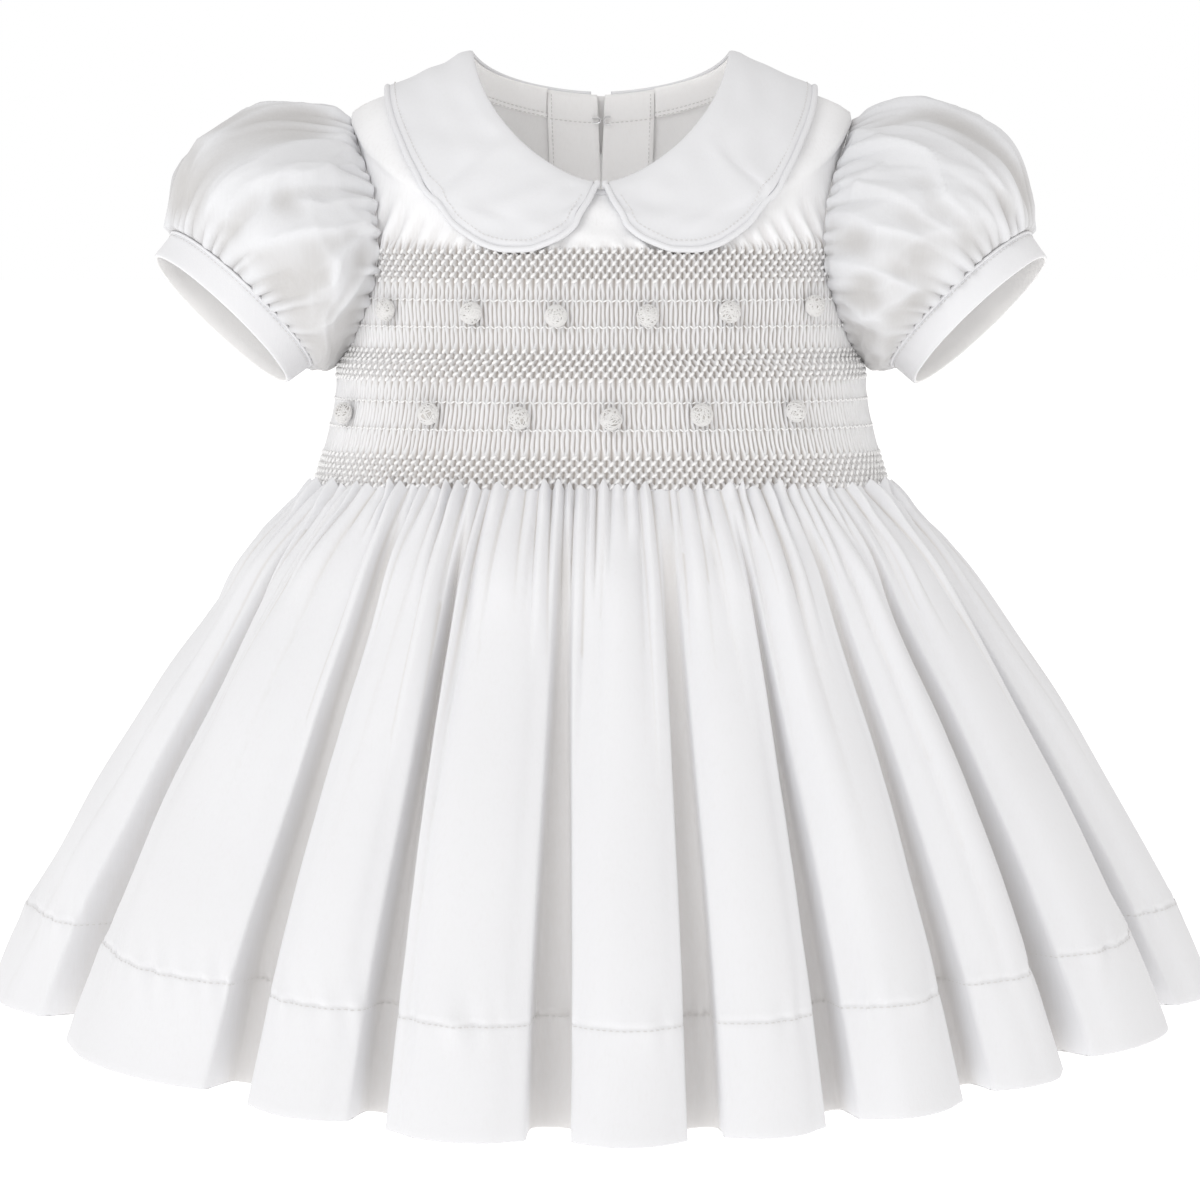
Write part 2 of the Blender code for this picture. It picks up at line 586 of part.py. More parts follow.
# The skirt is gathered into the waist, opens out into deep flutes and ends in a wide turned-up hem.
def skirt(rows, u, t):
    """The point of the skirt u radians round from its middle, t of the way down."""
    side = np.sign(rows[0][1])
    turns = FRONT_TURNS if side < 0 else BACK_TURNS
    gathers = FRONT_GATHERS if side < 0 else BACK_GATHERS
    drop = HEM_FRONT_DROP if side < 0 else HEM_BACK_DROP
    u, t = np.broadcast_arrays(np.asarray(u, float), np.asarray(t, float))
    waist = body(rows, u, 1.0) - np.array([0.0, 0.0, WAIST_GAP])
    hem_z = HEM_SIDE_Z - drop * np.cos(u) ** 2
    hem = np.stack([HEM_HALF_WIDTH * np.sin(u), side * HEM_HALF_DEPTH * np.cos(u), hem_z], -1)
    out = glide(FLARE, t)[..., 0]
    ways = np.stack([out, out, t], -1)
    base = waist + (hem - waist) * ways
    outwards = unit(np.stack([np.sin(u) / HEM_HALF_WIDTH, side * np.cos(u) / HEM_HALF_DEPTH, 0 * u], -1))
    onwards = np.stack([side * outwards[..., 1], -side * outwards[..., 0], 0 * u], -1)
    phases = [(radians(turn), (k + 1) * pi) for k, turn in enumerate(turns)]
    phase = glide(phases, u)[..., 0]
    step = 0.01
    rate = (glide(phases, u + step)[..., 0] - glide(phases, u - step)[..., 0]) / (2 * step)
    round_hem = np.hypot(HEM_HALF_WIDTH * np.cos(u), HEM_HALF_DEPTH * np.sin(u))
    wave = 2 * pi * round_hem / np.maximum(rate, 1.0)
    full, gather = np.moveaxis(glide(FULLNESS, t), -1, 0)
    size = full * (FLUTES_AT_WAIST + (1 - FLUTES_AT_WAIST) * out)
    depth = np.minimum(FLUTE_SLOPE * wave, FLUTE_DEPTH_LIMIT) * size
    from_seam = pi / 2 - np.abs(u)
    shape = FLUTE_UNDERCUT * np.sin(2 * phase) + FLUTE_BROADENING * np.sin(phase)
    slide = shape * wave / (2 * pi) * size * np.sin(pi / 2 * np.clip(from_seam / SIDE_SLIDE_TURN, 0, 1))
    fade = np.clip((from_seam - SEAM_TURN) / GATHER_START, 0, 1)
    fine = gather * np.cos(2 * gathers * (u + pi / 2)) * fade
    return base + (depth * np.cos(phase) + fine)[..., None] * outwards + slide[..., None] * onwards


for name, rows, gathers in (
    ("skirt_front", FRONT_ROWS, FRONT_GATHERS),
    ("skirt_back", BACK_ROWS, BACK_GATHERS),
):
    front = rows is FRONT_ROWS
    turns = np.linspace(-pi / 2, pi / 2, 2 * gathers + 1)
    turns = np.sort(np.concatenate([turns, [SEAM_TURN - pi / 2, pi / 2 - SEAM_TURN]]))
    grid = shifted(skirt(rows, turns[None, :], np.array(SKIRT_ROWS)[:, None]), -1 if front else 1)
    hem_rows = SKIRT_ROWS.index(HEM_LINE)
    cloth(name, grid, HEM_WALL, WHITE, flip=not front, thick_rows=hem_rows, thin=SKIRT_WALL / HEM_WALL)


# Each puff sleeve is gathered into the armhole and again into a plain band cuff.
def armhole():
    """Round the left armhole from the shoulder tip over the front: points, outward and away."""
    down = np.linspace(TIP_ROW, UNDERARM_ROW, ARMHOLE_STEPS)
    points = []
    normals = []
    for rows, order in ((FRONT_ROWS, down), (BACK_ROWS, down[::-1])):
        turns = -edge_turn(rows, order)
        points.append(shifted(body(rows, turns, order), np.sign(rows[0][1])))
        normals.append(body_normal(rows, turns, order))
    length = []
    for half in points:
        run = np.concatenate([[0.0], np.cumsum(np.linalg.norm(np.diff(half, axis=0), axis=1))])
        length.append(run / run[-1] / 2)
    length[1] = length[1] + 0.5
    return np.concatenate(length), np.concatenate(points), unit(np.concatenate(normals))


ARM_SHARE, ARM_POINTS, ARM_NORMALS = armhole()


def around(share, values):
    """Values round the armhole at a share of the way, softened a little."""
    total = 0.0
    for offset in (-ARMHOLE_SOFTENING, 0.0, ARMHOLE_SOFTENING):
        place = np.mod(share + offset, 1.0)
        total = total + np.stack([np.interp(place, ARM_SHARE, values[:, axis]) for axis in range(3)], -1)
    return total / 3


def cuff(share, k):
    """The point of the cuff a share of the way round, k of the way to its rim."""
    angle = 2 * pi * share
    long_half = CUFF_HALF_LONG[0] + (CUFF_HALF_LONG[1] - CUFF_HALF_LONG[0]) * k
    short_half = CUFF_HALF_SHORT[0] + (CUFF_HALF_SHORT[1] - CUFF_HALF_SHORT[0]) * k
    centre = np.array(CUFF_CENTRE) + CUFF_WIDTH * k * np.array(CUFF_RUN)
    flat = -long_half * np.cos(angle)[..., None] * np.array(CUFF_LONG_AXIS)
    return centre + flat + short_half * np.sin(angle)[..., None] * np.array(CUFF_SHORT_AXIS)


def sleeve_line(share, t):
    """The point of the left sleeve's smooth form, t of the way from the armhole to the cuff."""
    start = around(share, ARM_POINTS) + ARMHOLE_GAP * around(share, ARM_NORMALS)
    end = cuff(share, CUFF_GAP)
    steps = glide(SLEEVE_LINES, share)
    leave = start + steps[..., :3]
    arrive = end + steps[..., 3:]
    t = np.asarray(t, float)[..., None]
    ends = (1 - t) ** 3 * start + t ** 3 * end
    return ends + 3 * t * (1 - t) ** 2 * leave + 3 * t * t * (1 - t) * arrive


def sleeve(share, t):
    """The same with its gathers and creases."""
    share, t = np.broadcast_arrays(np.asarray(share, float), np.asarray(t, float))
    step = 0.004
    around_it = sleeve_line(share + step, t) - sleeve_line(share - step, t)
    along_it = sleeve_line(share, np.clip(t + step, 0, 1)) - sleeve_line(share, np.clip(t - step, 0, 1))
    normal = unit(np.cross(along_it, around_it))
    gather, crease = np.moveaxis(glide(SLEEVE_FOLDS, t), -1, 0)
    waves = 0.0
    for turns, slant, start, size in SLEEVE_CREASES:
        waves = waves + size * np.sin(2 * pi * (turns * share + slant * t) + start)
    height = gather * np.cos(2 * pi * SLEEVE_GATHERS * share) + crease * waves
    run = np.linalg.norm(sleeve_line(share, 0.0 * t) - sleeve_line(share, 0.0 * t + 1), axis=-1)
    height = height * np.clip(run / SLEEVE_FULL_RUN, 0.2, 1)
    return sleeve_line(share, t) + height[..., None] * normal


CUFF_COLUMNS = 32
for side, sign in SIDES:
    mirror = np.array([-sign, 1, 1])
    shares = np.arange(2 * SLEEVE_GATHERS) / (2 * SLEEVE_GATHERS)
    grid = sleeve(shares[None, :], np.array(SLEEVE_ROWS)[:, None]) * mirror
    cloth(f"sleeve_{side}", grid, SLEEVE_WALL, WHITE, closed=True, flip=sign > 0)
    shares = np.arange(CUFF_COLUMNS) / CUFF_COLUMNS
    grid = np.array([cuff(shares, k) for k in (0.0, 1.0)]) * mirror
    cloth(f"cuff_{side}", grid, CUFF_THICKNESS, WHITE, closed=True, flip=sign > 0)


# Twelve round embroidered balls sit just clear of the ribs, in two rows of six.
for number, (degrees, v, rest) in enumerate(BALLS, 1):
    turn = radians(degrees)
    seat = laid(FRONT_ROWS, turn, v, rest + BALL_THICKNESS)
    normal = Vector(body_normal(FRONT_ROWS, turn, v))
    mesh = bpy.data.meshes.new(f"ball_{number:02d}")
    shape = bmesh.new()
    bmesh.ops.create_icosphere(shape, subdivisions=2, radius=1.0)
    size = Matrix.Diagonal((BALL_RADIUS, BALL_RADIUS, BALL_THICKNESS, 1.0))
    turned = normal.to_track_quat("Z", "Y").to_matrix().to_4x4()
    shape.transform(Matrix.Translation(Vector(seat)) @ turned @ size)
    shape.to_mesh(mesh)
    shape.free()
    add(f"ball_{number:02d}", mesh, THREAD_WHITE)


# A small tab lies behind the top of the back opening, and a hook and eye close it there.
grid = []
for v in np.linspace(TAB_ROWS[0], TAB_ROWS[1], 4):
    row = []
    for x in (-TAB_HALF_WIDTH, 0.0, TAB_HALF_WIDTH):
        turn = float(turn_at(BACK_ROWS, v, abs(x))) * np.sign(x)
        row.append(laid(BACK_ROWS, turn, v, SEAM_GAP + LAYER / 2))
    grid.append(row)
cloth("back_tab", np.array(grid), LAYER / 2, INNER_WHITE, flip=True)
hook_height = -(CLOTH + LAYER + WIRE_RADIUS + HOOK_CLEARANCE)
hook_at = laid(BACK_ROWS, 0.0, HOOK_ROW, hook_height)
lie = unit(laid(BACK_ROWS, 0.0, HOOK_ROW - 0.01, 0.0) - laid(BACK_ROWS, 0.0, HOOK_ROW + 0.01, 0.0))
for name, line in (("hook", HOOK_LINE), ("eye", EYE_LINE)):
    ends = [(x, -up) for x, up in line[-2::-1]]
    points = [hook_at + np.array([x, 0.0, 0.0]) + up * lie for x, up in (*line, *ends)]
    rod(name, points, WIRE_RADIUS, STEEL, 0.35, 1.0)
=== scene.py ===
from math import pi, radians, sqrt

import bpy
import numpy as np
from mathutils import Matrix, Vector


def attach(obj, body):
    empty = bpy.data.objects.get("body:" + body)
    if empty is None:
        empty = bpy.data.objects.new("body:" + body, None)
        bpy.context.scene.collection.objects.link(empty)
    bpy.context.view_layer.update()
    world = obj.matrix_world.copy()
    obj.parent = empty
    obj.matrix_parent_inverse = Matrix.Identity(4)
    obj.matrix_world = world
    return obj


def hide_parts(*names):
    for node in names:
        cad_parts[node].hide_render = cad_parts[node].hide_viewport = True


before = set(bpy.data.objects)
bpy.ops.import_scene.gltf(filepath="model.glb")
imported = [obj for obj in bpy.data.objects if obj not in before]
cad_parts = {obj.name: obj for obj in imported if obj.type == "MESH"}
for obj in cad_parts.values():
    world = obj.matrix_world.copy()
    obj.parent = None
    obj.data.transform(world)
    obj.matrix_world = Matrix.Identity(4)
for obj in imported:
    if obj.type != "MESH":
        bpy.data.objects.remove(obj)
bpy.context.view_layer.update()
scene = bpy.context.scene

# A plain pale studio. The floor lies well below the hem, because the dress is filled out and held
# up at its shoulders. A large soft light stands to the upper left, and the room fills the shadows.
FLOOR_Z = -0.70
FLOOR_HALF = 40.0
CAMERA_AT = (0.0, -1.5912, -0.0693)
LOOK_AT = (0.0, 0.0, -0.2365)
LENS = 106.7
ROOM_COLOUR = (1.0, 0.985, 0.968)
ROOM_STRENGTH = 0.79
BACKDROP_STRENGTH = 1.0
FLOOR_GLOW = 0.56
KEY_AT = (-1.40, -2.2, 1.25)
KEY_SIZE = 1.2
KEY_POWER = 16.5
KEY_COLOUR = (0.955, 0.975, 1.0)



def added(name, data):
    """A new object in the scene."""
    made = bpy.data.objects.new(name, data)
    scene.collection.objects.link(made)
    return made


def aimed(holder, place):
    """Puts a light or a camera there, turned to the middle of the dress."""
    holder.location = place
    holder.rotation_mode = "QUATERNION"
    holder.rotation_quaternion = (Vector(LOOK_AT) - Vector(place)).to_track_quat("-Z", "Y")


floor_mesh = bpy.data.meshes.new("studio_floor")
floor_mesh.from_pydata(
    [(x * FLOOR_HALF, y * FLOOR_HALF, FLOOR_Z) for x, y in ((-1, -1), (1, -1), (1, 1), (-1, 1))],
    [],
    [(0, 1, 2, 3)],
)
floor = added("studio_floor", floor_mesh)
floor_paint = bpy.data.materials.new("studio_floor")
floor_paint.use_nodes = True
floor_shader = floor_paint.node_tree.nodes["Principled BSDF"]
for name, value in (
    ("Base Color", (0.95, 0.95, 0.95, 1.0)), ("Roughness", 1.0), ("Specular IOR Level", 0.0),
    ("Emission Color", (1.0, 1.0, 1.0, 1.0)), ("Emission Strength", FLOOR_GLOW),
):
    floor_shader.inputs[name].default_value = value
floor_mesh.materials.append(floor_paint)

room = bpy.data.worlds.new("room")
room.use_nodes = True
room_nodes = room.node_tree.nodes
room_light = room_nodes["Background"]
room_light.inputs["Color"].default_value = (*ROOM_COLOUR, 1.0)
room_light.inputs["Strength"].default_value = ROOM_STRENGTH
backdrop = room_nodes.new("ShaderNodeBackground")
backdrop.inputs["Color"].default_value = (1.0, 1.0, 1.0, 1.0)
backdrop.inputs["Strength"].default_value = BACKDROP_STRENGTH
seen = room_nodes.new("ShaderNodeLightPath")
either = room_nodes.new("ShaderNodeMixShader")
room.node_tree.links.new(seen.outputs["Is Camera Ray"], either.inputs[0])
room.node_tree.links.new(room_light.outputs[0], either.inputs[1])
room.node_tree.links.new(backdrop.outputs[0], either.inputs[2])
room.node_tree.links.new(either.outputs[0], room_nodes["World Output"].inputs["Surface"])
scene.world = room
scene.view_settings.view_transform = "Standard"

key_data = bpy.data.lights.new("key", "AREA")
key_data.size = KEY_SIZE
key_data.energy = KEY_POWER
key_data.color = KEY_COLOUR
aimed(added("key", key_data), KEY_AT)

camera_data = bpy.data.cameras.new("camera")
camera_data.lens = LENS
camera_data.sensor_width = 36.0
camera_data.shift_x = -1.0 / 1200
camera_data.clip_end = 200.0
scene.camera = added("camera", camera_data)
aimed(scene.camera, CAMERA_AT)


# The front is one panel of fine white cotton lawn. It is plain over the shoulders, and from the
# chest to the waist it is pleated very finely and held by smocking: three honeycomb bands with rows
# of cable stitch between them. Its pleats run on up into the plain part as soft folds that fade.
COTTON = (0.786, 0.788, 0.806)
# FRONT_COTTON is a lighter copy of the cotton, painted light on the front, which its pleats shade.
FRONT_COTTON = (0.862, 0.862, 0.872)
# COTTON_SHADE and PLEAT_SHADE are painted shade: the warmer grey that the cloth turns to in its
# hollows and between its pleats.
COTTON_SHADE = (0.650, 0.622, 0.592)
PLEAT_SHADE = (0.425, 0.384, 0.354)
PLEATS = 160
PLEAT_POSTS = (-0.25, 0.0, 0.25)
PLEAT_HEIGHT = 0.0010
PLEAT_FLOOR = -0.0006
CLOSED_FLOOR = 0.00045
CLOSED_GAP = 0.25
OPENING_GAP = 0.6
PINCH_RISE = 0.25
# RIB_SIDE_SHADE, BAND_RIB_SHADE and YOKE_FOLD_SHADE are amounts of painted shade: on the sides of
# the ribs, on a band's ribs between its stitches, and in the yoke's soft folds.
RIB_SIDE_SHADE = 0.12
RIB_SIDE_HEIGHT = 0.5
BAND_RIB_SHADE = 0.45
YOKE_FOLD_SHADE = 0.22
DRIFT_WAVES = (0.05, 0.12)
DRIFT_SIZES = (0.02, 0.10)
PLEAT_HEIGHTS = (0.82, 1.12)
JOINED = 0.42
PINCHED = 0.24
BAND_STITCH_ROWS = 6
BANDS = ((0.367, 0.445), (0.631, 0.709), (0.914, 0.992))
CABLES = (0.496, 0.567, 0.768, 0.841)
SMOCK_TOP = 0.36
RELEASE = 0.030
CABLE_REACH = 0.022
YOKE_FOLD_PLEATS = 4.6
YOKE_FOLD_HEIGHT = 0.0021
YOKE_FOLD_RUN = 0.13
YOKE_RUMPLE = 0.0005
YOKE_RUN = 0.022
BODY_ACROSS = 0.09
BODY_DOWN = 0.16
ROWS_TO_A_STITCH = 4
RIB_ROWS = 24
UNEVEN_WAVES = 9
WEAVE_SCALE = 1500.0
SLUB_SCALE = 900.0
SLUB_STRETCH = (1.0, 1.0, 0.09)
CLOUD_SCALE = 130.0
SLUB_TINT = 0.24
COTTON_SPECULAR = 0.25
COTTON_SHEEN = 0.12
COTTON_ROUGHNESS = 0.74
ROUGHNESS_VARIATION = 0.12
SLUB_SHARE = 1.2
CLOUD_TINT = 0.08
BINDING_DEPTH = 0.0041
SHOULDER_ROUNDING = 0.12
SEAM_SHIFT = 0.00003
TIP_ROW = 0.16
UNDERARM_ROW = 0.67

# The level rows of the front from the neck to the waist. On each one: how far down the panel it is,
# the middle of it (y, z), its outer end (x, y, z), how square it runs round and how it sags.
FRONT_ROWS = (
    (0.00, -0.0560, -0.0532, 0.0585, 0.0000, 0.0050, 2.40, 1.35),
    (0.08, -0.0625, -0.0602, 0.0840, 0.0000, -0.0070, 2.30, 1.55),
    (0.16, -0.0668, -0.0660, 0.1107, 0.0000, -0.0210, 2.20, 1.85),
    (0.22, -0.0690, -0.0705, 0.1060, -0.0150, -0.0363, 2.20, 1.85),
    (0.28, -0.0710, -0.0745, 0.0997, -0.0300, -0.0535, 2.20, 1.85),
    (0.33, -0.0722, -0.0773, 0.0968, -0.0400, -0.0685, 2.20, 1.90),
    (0.36, -0.0730, -0.0795, 0.0965, -0.0440, -0.0785, 2.20, 2.00),
    (0.43, -0.0765, -0.0905, 0.0975, -0.0440, -0.0898, 2.20, 2.00),
    (0.50, -0.0785, -0.1016, 0.1009, -0.0415, -0.1012, 2.20, 2.00),
    (0.57, -0.0800, -0.1126, 0.1055, -0.0345, -0.1126, 2.20, 2.00),
    (0.62, -0.0810, -0.1205, 0.1095, -0.0255, -0.1210, 2.20, 2.00),
    (0.65, -0.0820, -0.1253, 0.1130, -0.0150, -0.1260, 2.20, 2.00),
    (0.67, -0.0825, -0.1284, 0.1157, 0.0000, -0.1290, 2.25, 2.00),
    (0.78, -0.0850, -0.1458, 0.1178, 0.0000, -0.1470, 2.30, 2.00),
    (0.88, -0.0865, -0.1616, 0.1215, 0.0000, -0.1635, 2.30, 2.00),
    (1.00, -0.0880, -0.1805, 0.1274, 0.0000, -0.1840, 2.30, 2.00),
)

# The same for the back.
BACK_ROWS = (
    (0.00, 0.0480, -0.0105, 0.0585, 0.0000, 0.0050, 2.12, 1.50),
    (0.08, 0.0580, -0.0300, 0.0840, 0.0000, -0.0070, 2.10, 1.50),
    (0.16, 0.0640, -0.0500, 0.1107, 0.0000, -0.0210, 2.20, 1.60),
    (0.24, 0.0675, -0.0660, 0.1068, 0.0200, -0.0430, 2.20, 1.70),
    (0.34, 0.0700, -0.0810, 0.1040, 0.0330, -0.0670, 2.30, 1.90),
    (0.44, 0.0720, -0.0940, 0.1036, 0.0365, -0.0880, 2.30, 2.00),
    (0.54, 0.0740, -0.1080, 0.1055, 0.0335, -0.1065, 2.30, 2.00),
    (0.61, 0.0755, -0.1190, 0.1095, 0.0230, -0.1200, 2.30, 2.00),
    (0.65, 0.0760, -0.1250, 0.1130, 0.0120, -0.1260, 2.30, 2.00),
    (0.67, 0.0765, -0.1278, 0.1157, 0.0000, -0.1290, 2.30, 2.00),
    (0.78, 0.0780, -0.1460, 0.1178, 0.0000, -0.1470, 2.30, 2.00),
    (0.88, 0.0795, -0.1620, 0.1215, 0.0000, -0.1635, 2.30, 2.00),
    (1.00, 0.0815, -0.1815, 0.1274, 0.0000, -0.1840, 2.30, 2.00),
)


def glide(table, at):
    """Every other column of a table where its first column is `at`, by a monotone cubic."""
    data = np.array(table, float)
    knots = data[:, 0]
    values = data[:, 1:]
    step = np.diff(knots)[:, None]
    slope = np.diff(values, axis=0) / step
    same = slope[:-1] * slope[1:] > 0
    total = np.where(same, slope[:-1] + slope[1:], 1.0)
    inner = np.where(same, 2 * slope[:-1] * slope[1:] / total, 0.0)
    tangent = np.vstack([slope[:1], inner, slope[-1:]])
    at = np.clip(np.asarray(at, float), knots[0], knots[-1])
    i = np.clip(np.searchsorted(knots, at, side="right") - 1, 0, len(knots) - 2)
    f = ((at - knots[i]) / step[i, 0])[..., None]
    start = (1 + 2 * f) * (1 - f) ** 2 * values[i] + f * (1 - f) ** 2 * step[i] * tangent[i]
    end = f * f * (3 - 2 * f) * values[i + 1] + f * f * (f - 1) * step[i] * tangent[i + 1]
    return start + end


def ease(value):
    """0 up to 0, 1 from 1 on, and smooth between."""
    value = np.clip(value, 0, 1)
    return value * value * (3 - 2 * value)


def unit(vectors):
    return vectors / np.linalg.norm(vectors, axis=-1, keepdims=True)


def edge_turn(rows, v):
    """How far round the end of a row is."""
    values = glide(rows, v)
    share = (values[..., 3] / values[..., 0]) ** (values[..., 5] / 2)
    return np.arccos(np.clip(share, 0, 1))


def turn_at(rows, v, x):
    """How far round a row reaches the distance x from the middle."""
    values = glide(rows, v)
    square = values[..., 5]
    half = values[..., 2] / np.sin(edge_turn(rows, v)) ** (2 / square)
    return np.arcsin(np.clip(x / half, 0, 1) ** (square / 2))


def body(rows, u, v):
    """The point of the bodice u radians round from its middle on row v."""
    u, v = np.broadcast_arrays(np.asarray(u, float), np.asarray(v, float))
    mid_y, mid_z, end_x, _, end_z, square, sag = np.moveaxis(glide(rows, v), -1, 0)
    turn = edge_turn(rows, v)
    half = end_x / np.sin(turn) ** (2 / square)
    x = half * np.sign(u) * np.abs(np.sin(u)) ** (2 / square)
    y = mid_y * np.abs(np.cos(u)) ** (2 / square)
    beyond = 1 - np.abs(u) / turn
    rounded = np.sqrt(beyond ** 2 + SHOULDER_ROUNDING ** 2) - SHOULDER_ROUNDING
    whole = sqrt(1 + SHOULDER_ROUNDING ** 2) - SHOULDER_ROUNDING
    z = mid_z + (end_z - mid_z) * np.clip(1 - rounded / whole, 0, 1) ** sag
    return np.stack([x, y, z], -1)


def body_normal(rows, u, v):
    """Straight out of the bodice."""
    step = 0.001
    across = body(rows, u + step, v) - body(rows, u - step, v)
    down = body(rows, u, np.clip(v + step, 0, 1)) - body(rows, u, np.clip(v - step, 0, 1))
    return unit(np.cross(across, down) * np.sign(rows[0][1]))


def laid(rows, u, v, height):
    """A point that far over the bodice."""
    u, v, height = np.broadcast_arrays(u, v, height)
    return body(rows, u, v) + height[..., None] * body_normal(rows, u, v)


def round_neck(degrees, v, height):
    """A point over the bodice, counted right round from the front: past 90 degrees is the back."""
    degrees, v, height = np.broadcast_arrays(np.asarray(degrees, float), v, height)
    front = laid(FRONT_ROWS, np.radians(degrees), v, height)
    back = laid(BACK_ROWS, np.sign(degrees) * (pi - np.abs(np.radians(degrees))), v, height)
    return np.where((np.abs(degrees) <= 90)[..., None], front, back)


def row_after(degrees, length):
    """The row that lies that length down from the neck edge."""
    step = 0.004
    run = round_neck(degrees, step, 0.0) - round_neck(degrees, 0.0, 0.0)
    return length * step / np.linalg.norm(run, axis=-1)


def below_binding(rows, turns, v):
    """Rows counted from the binding instead of the neck edge, which meet the others at the tip."""
    degrees = np.degrees(turns) if rows is FRONT_ROWS else 180 - np.degrees(np.abs(turns))
    start = row_after(degrees, BINDING_DEPTH)
    return np.where(v < TIP_ROW, start + (1 - start / TIP_ROW) * v, v)


def shifted(points, side):
    """A panel drawn back from the shoulder and side seams."""
    return points + np.array([0.0, side * SEAM_SHIFT, 0.0])


def uneven(a, b, wave, seed):
    """Smooth unevenness over two lengths in metres, about -1 to 1, in waves about `wave` long."""
    draw = np.random.default_rng(seed)
    total = 0.0
    for _ in range(UNEVEN_WAVES):
        turn = draw.uniform(0, 2 * pi)
        rate = 2 * pi / (wave * draw.uniform(0.7, 1.7))
        along = a * np.cos(turn) + b * np.sin(turn)
        total = total + np.sin(rate * along + draw.uniform(0, 2 * pi))
    return total / 3.4


class Shade:
    """A shader socket that sums can be written with."""

    def __init__(self, tree, socket):
        self.tree = tree
        self.socket = socket

    def _sum(self, operation, first, second):
        return node(self.tree, "ShaderNodeMath", {"operation": operation}, {0: first, 1: second})

    def __add__(self, other):
        return self._sum("ADD", self, other)

    def __radd__(self, other):
        return self._sum("ADD", other, self)

    def __sub__(self, other):
        return self._sum("SUBTRACT", self, other)

    def __rsub__(self, other):
        return self._sum("SUBTRACT", other, self)

    def __mul__(self, other):
        return self._sum("MULTIPLY", self, other)

    def __rmul__(self, other):
        return self._sum("MULTIPLY", other, self)


def node(tree, kind, settings, sockets, output=0):
    """A node with its settings and socket values or links, given back as one of its outputs."""
    made = tree.nodes.new(kind)
    for name, value in settings.items():
        setattr(made, name, value)
    for name, value in sockets.items():
        if isinstance(value, Shade):
            tree.links.new(value.socket, made.inputs[name])
        else:
            made.inputs[name].default_value = value
    return Shade(tree, made.outputs[output])


def cotton(
    name, colour=COTTON, shade=COTTON_SHADE, grain=0.000035, rumple=0.00035, rumple_scale=55.0,
):
    """White woven cotton: warm painted shade in marked hollows, a fine grain and soft rumples."""
    made = bpy.data.materials.new(name)
    made.use_nodes = True
    tree = made.node_tree
    shader = tree.nodes["Principled BSDF"]
    shader.inputs["Specular IOR Level"].default_value = COTTON_SPECULAR
    shader.inputs["Sheen Weight"].default_value = COTTON_SHEEN
    place = node(tree, "ShaderNodeTexCoord", {}, {}, "Object")
    # Each piece marks its painted shade on its points: 0 keeps the colour, 1 turns it to the shade
    # colour.
    painted_shading = node(tree, "ShaderNodeAttribute", {"attribute_name": "painted_shading"}, {}, "Fac")
    noise = "ShaderNodeTexNoise"
    cloud = node(tree, noise, {}, {"Vector": place, "Scale": CLOUD_SCALE, "Detail": 3.0})
    stretch = {0: place, 1: SLUB_STRETCH}
    fall = node(tree, "ShaderNodeVectorMath", {"operation": "MULTIPLY"}, stretch)
    slub = node(tree, noise, {}, {"Vector": fall, "Scale": SLUB_SCALE, "Detail": 2.0})
    # The painted shade of each point warms and darkens the colour; cloud and slub add random tone
    # to the grain.
    painted_shade_and_grain = painted_shading + (cloud - 0.5) * CLOUD_TINT + (slub - 0.5) * SLUB_TINT
    paint = node(
        tree, "ShaderNodeMix", {"data_type": "RGBA", "clamp_factor": True},
        {"Factor": painted_shade_and_grain, 6: (*colour, 1.0), 7: (*shade, 1.0)}, 2,
    )
    tree.links.new(paint.socket, shader.inputs["Base Color"])
    roughness = COTTON_ROUGHNESS + cloud * ROUGHNESS_VARIATION
    tree.links.new(roughness.socket, shader.inputs["Roughness"])
    fine = node(tree, noise, {}, {"Vector": place, "Scale": WEAVE_SCALE, "Detail": 2.0})
    soft = node(tree, noise, {}, {"Vector": place, "Scale": rumple_scale, "Detail": 3.0})
    first = node(tree, "ShaderNodeBump", {}, {"Strength": 1.0, "Distance": rumple, "Height": soft})
    second = node(
        tree, "ShaderNodeBump", {},
        {"Strength": 1.0, "Distance": grain, "Height": fine + slub * SLUB_SHARE, "Normal": first},
    )
    tree.links.new(second.socket, shader.inputs["Normal"])
    return made


def cloth(
    name, grid, finish, closed=False, flip=False, wall=0.0, painted_shading=None, replaced=(),
):
    """A piece of cloth through a grid of points, with what it stands for and where it rides."""
    rows, columns = grid.shape[:2]
    across = columns if closed else columns - 1
    i, j = np.meshgrid(np.arange(rows - 1), np.arange(across), indexing="ij")
    k = (j + 1) % columns
    corners = [i * columns + j, (i + 1) * columns + j, (i + 1) * columns + k, i * columns + k]
    quads = np.stack(corners, -1).reshape(-1, 4)
    if flip:
        quads = quads[:, ::-1]
    points = grid.reshape(-1, 3)
    _, first, same = np.unique(np.round(points, 7), axis=0, return_index=True, return_inverse=True)
    quads = same.reshape(-1)[quads].tolist()
    faces = [[v for n, v in enumerate(q) if v != q[n - 1]] for q in quads]
    faces = [face for face in faces if len(face) > 2 and len(set(face)) == len(face)]
    mesh = bpy.data.meshes.new(name)
    mesh.from_pydata(points[first].tolist(), [], faces)
    mesh.shade_smooth()
    # The painted shading rides on the points, for the cotton to mix into its colour.
    if painted_shading is not None:
        layer = mesh.attributes.new("painted_shading", "FLOAT", "POINT")
        values = painted_shading.reshape(-1)[first].astype(np.float32)
        layer.data.foreach_set("value", values)
    mesh.materials.append(finish)
    made = added(name, mesh)
    if wall:
        thick = made.modifiers.new("wall", "SOLIDIFY")
        thick.thickness = wall
        thick.offset = -1
    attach(made, "root")
    if replaced:
        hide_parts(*replaced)
    return made


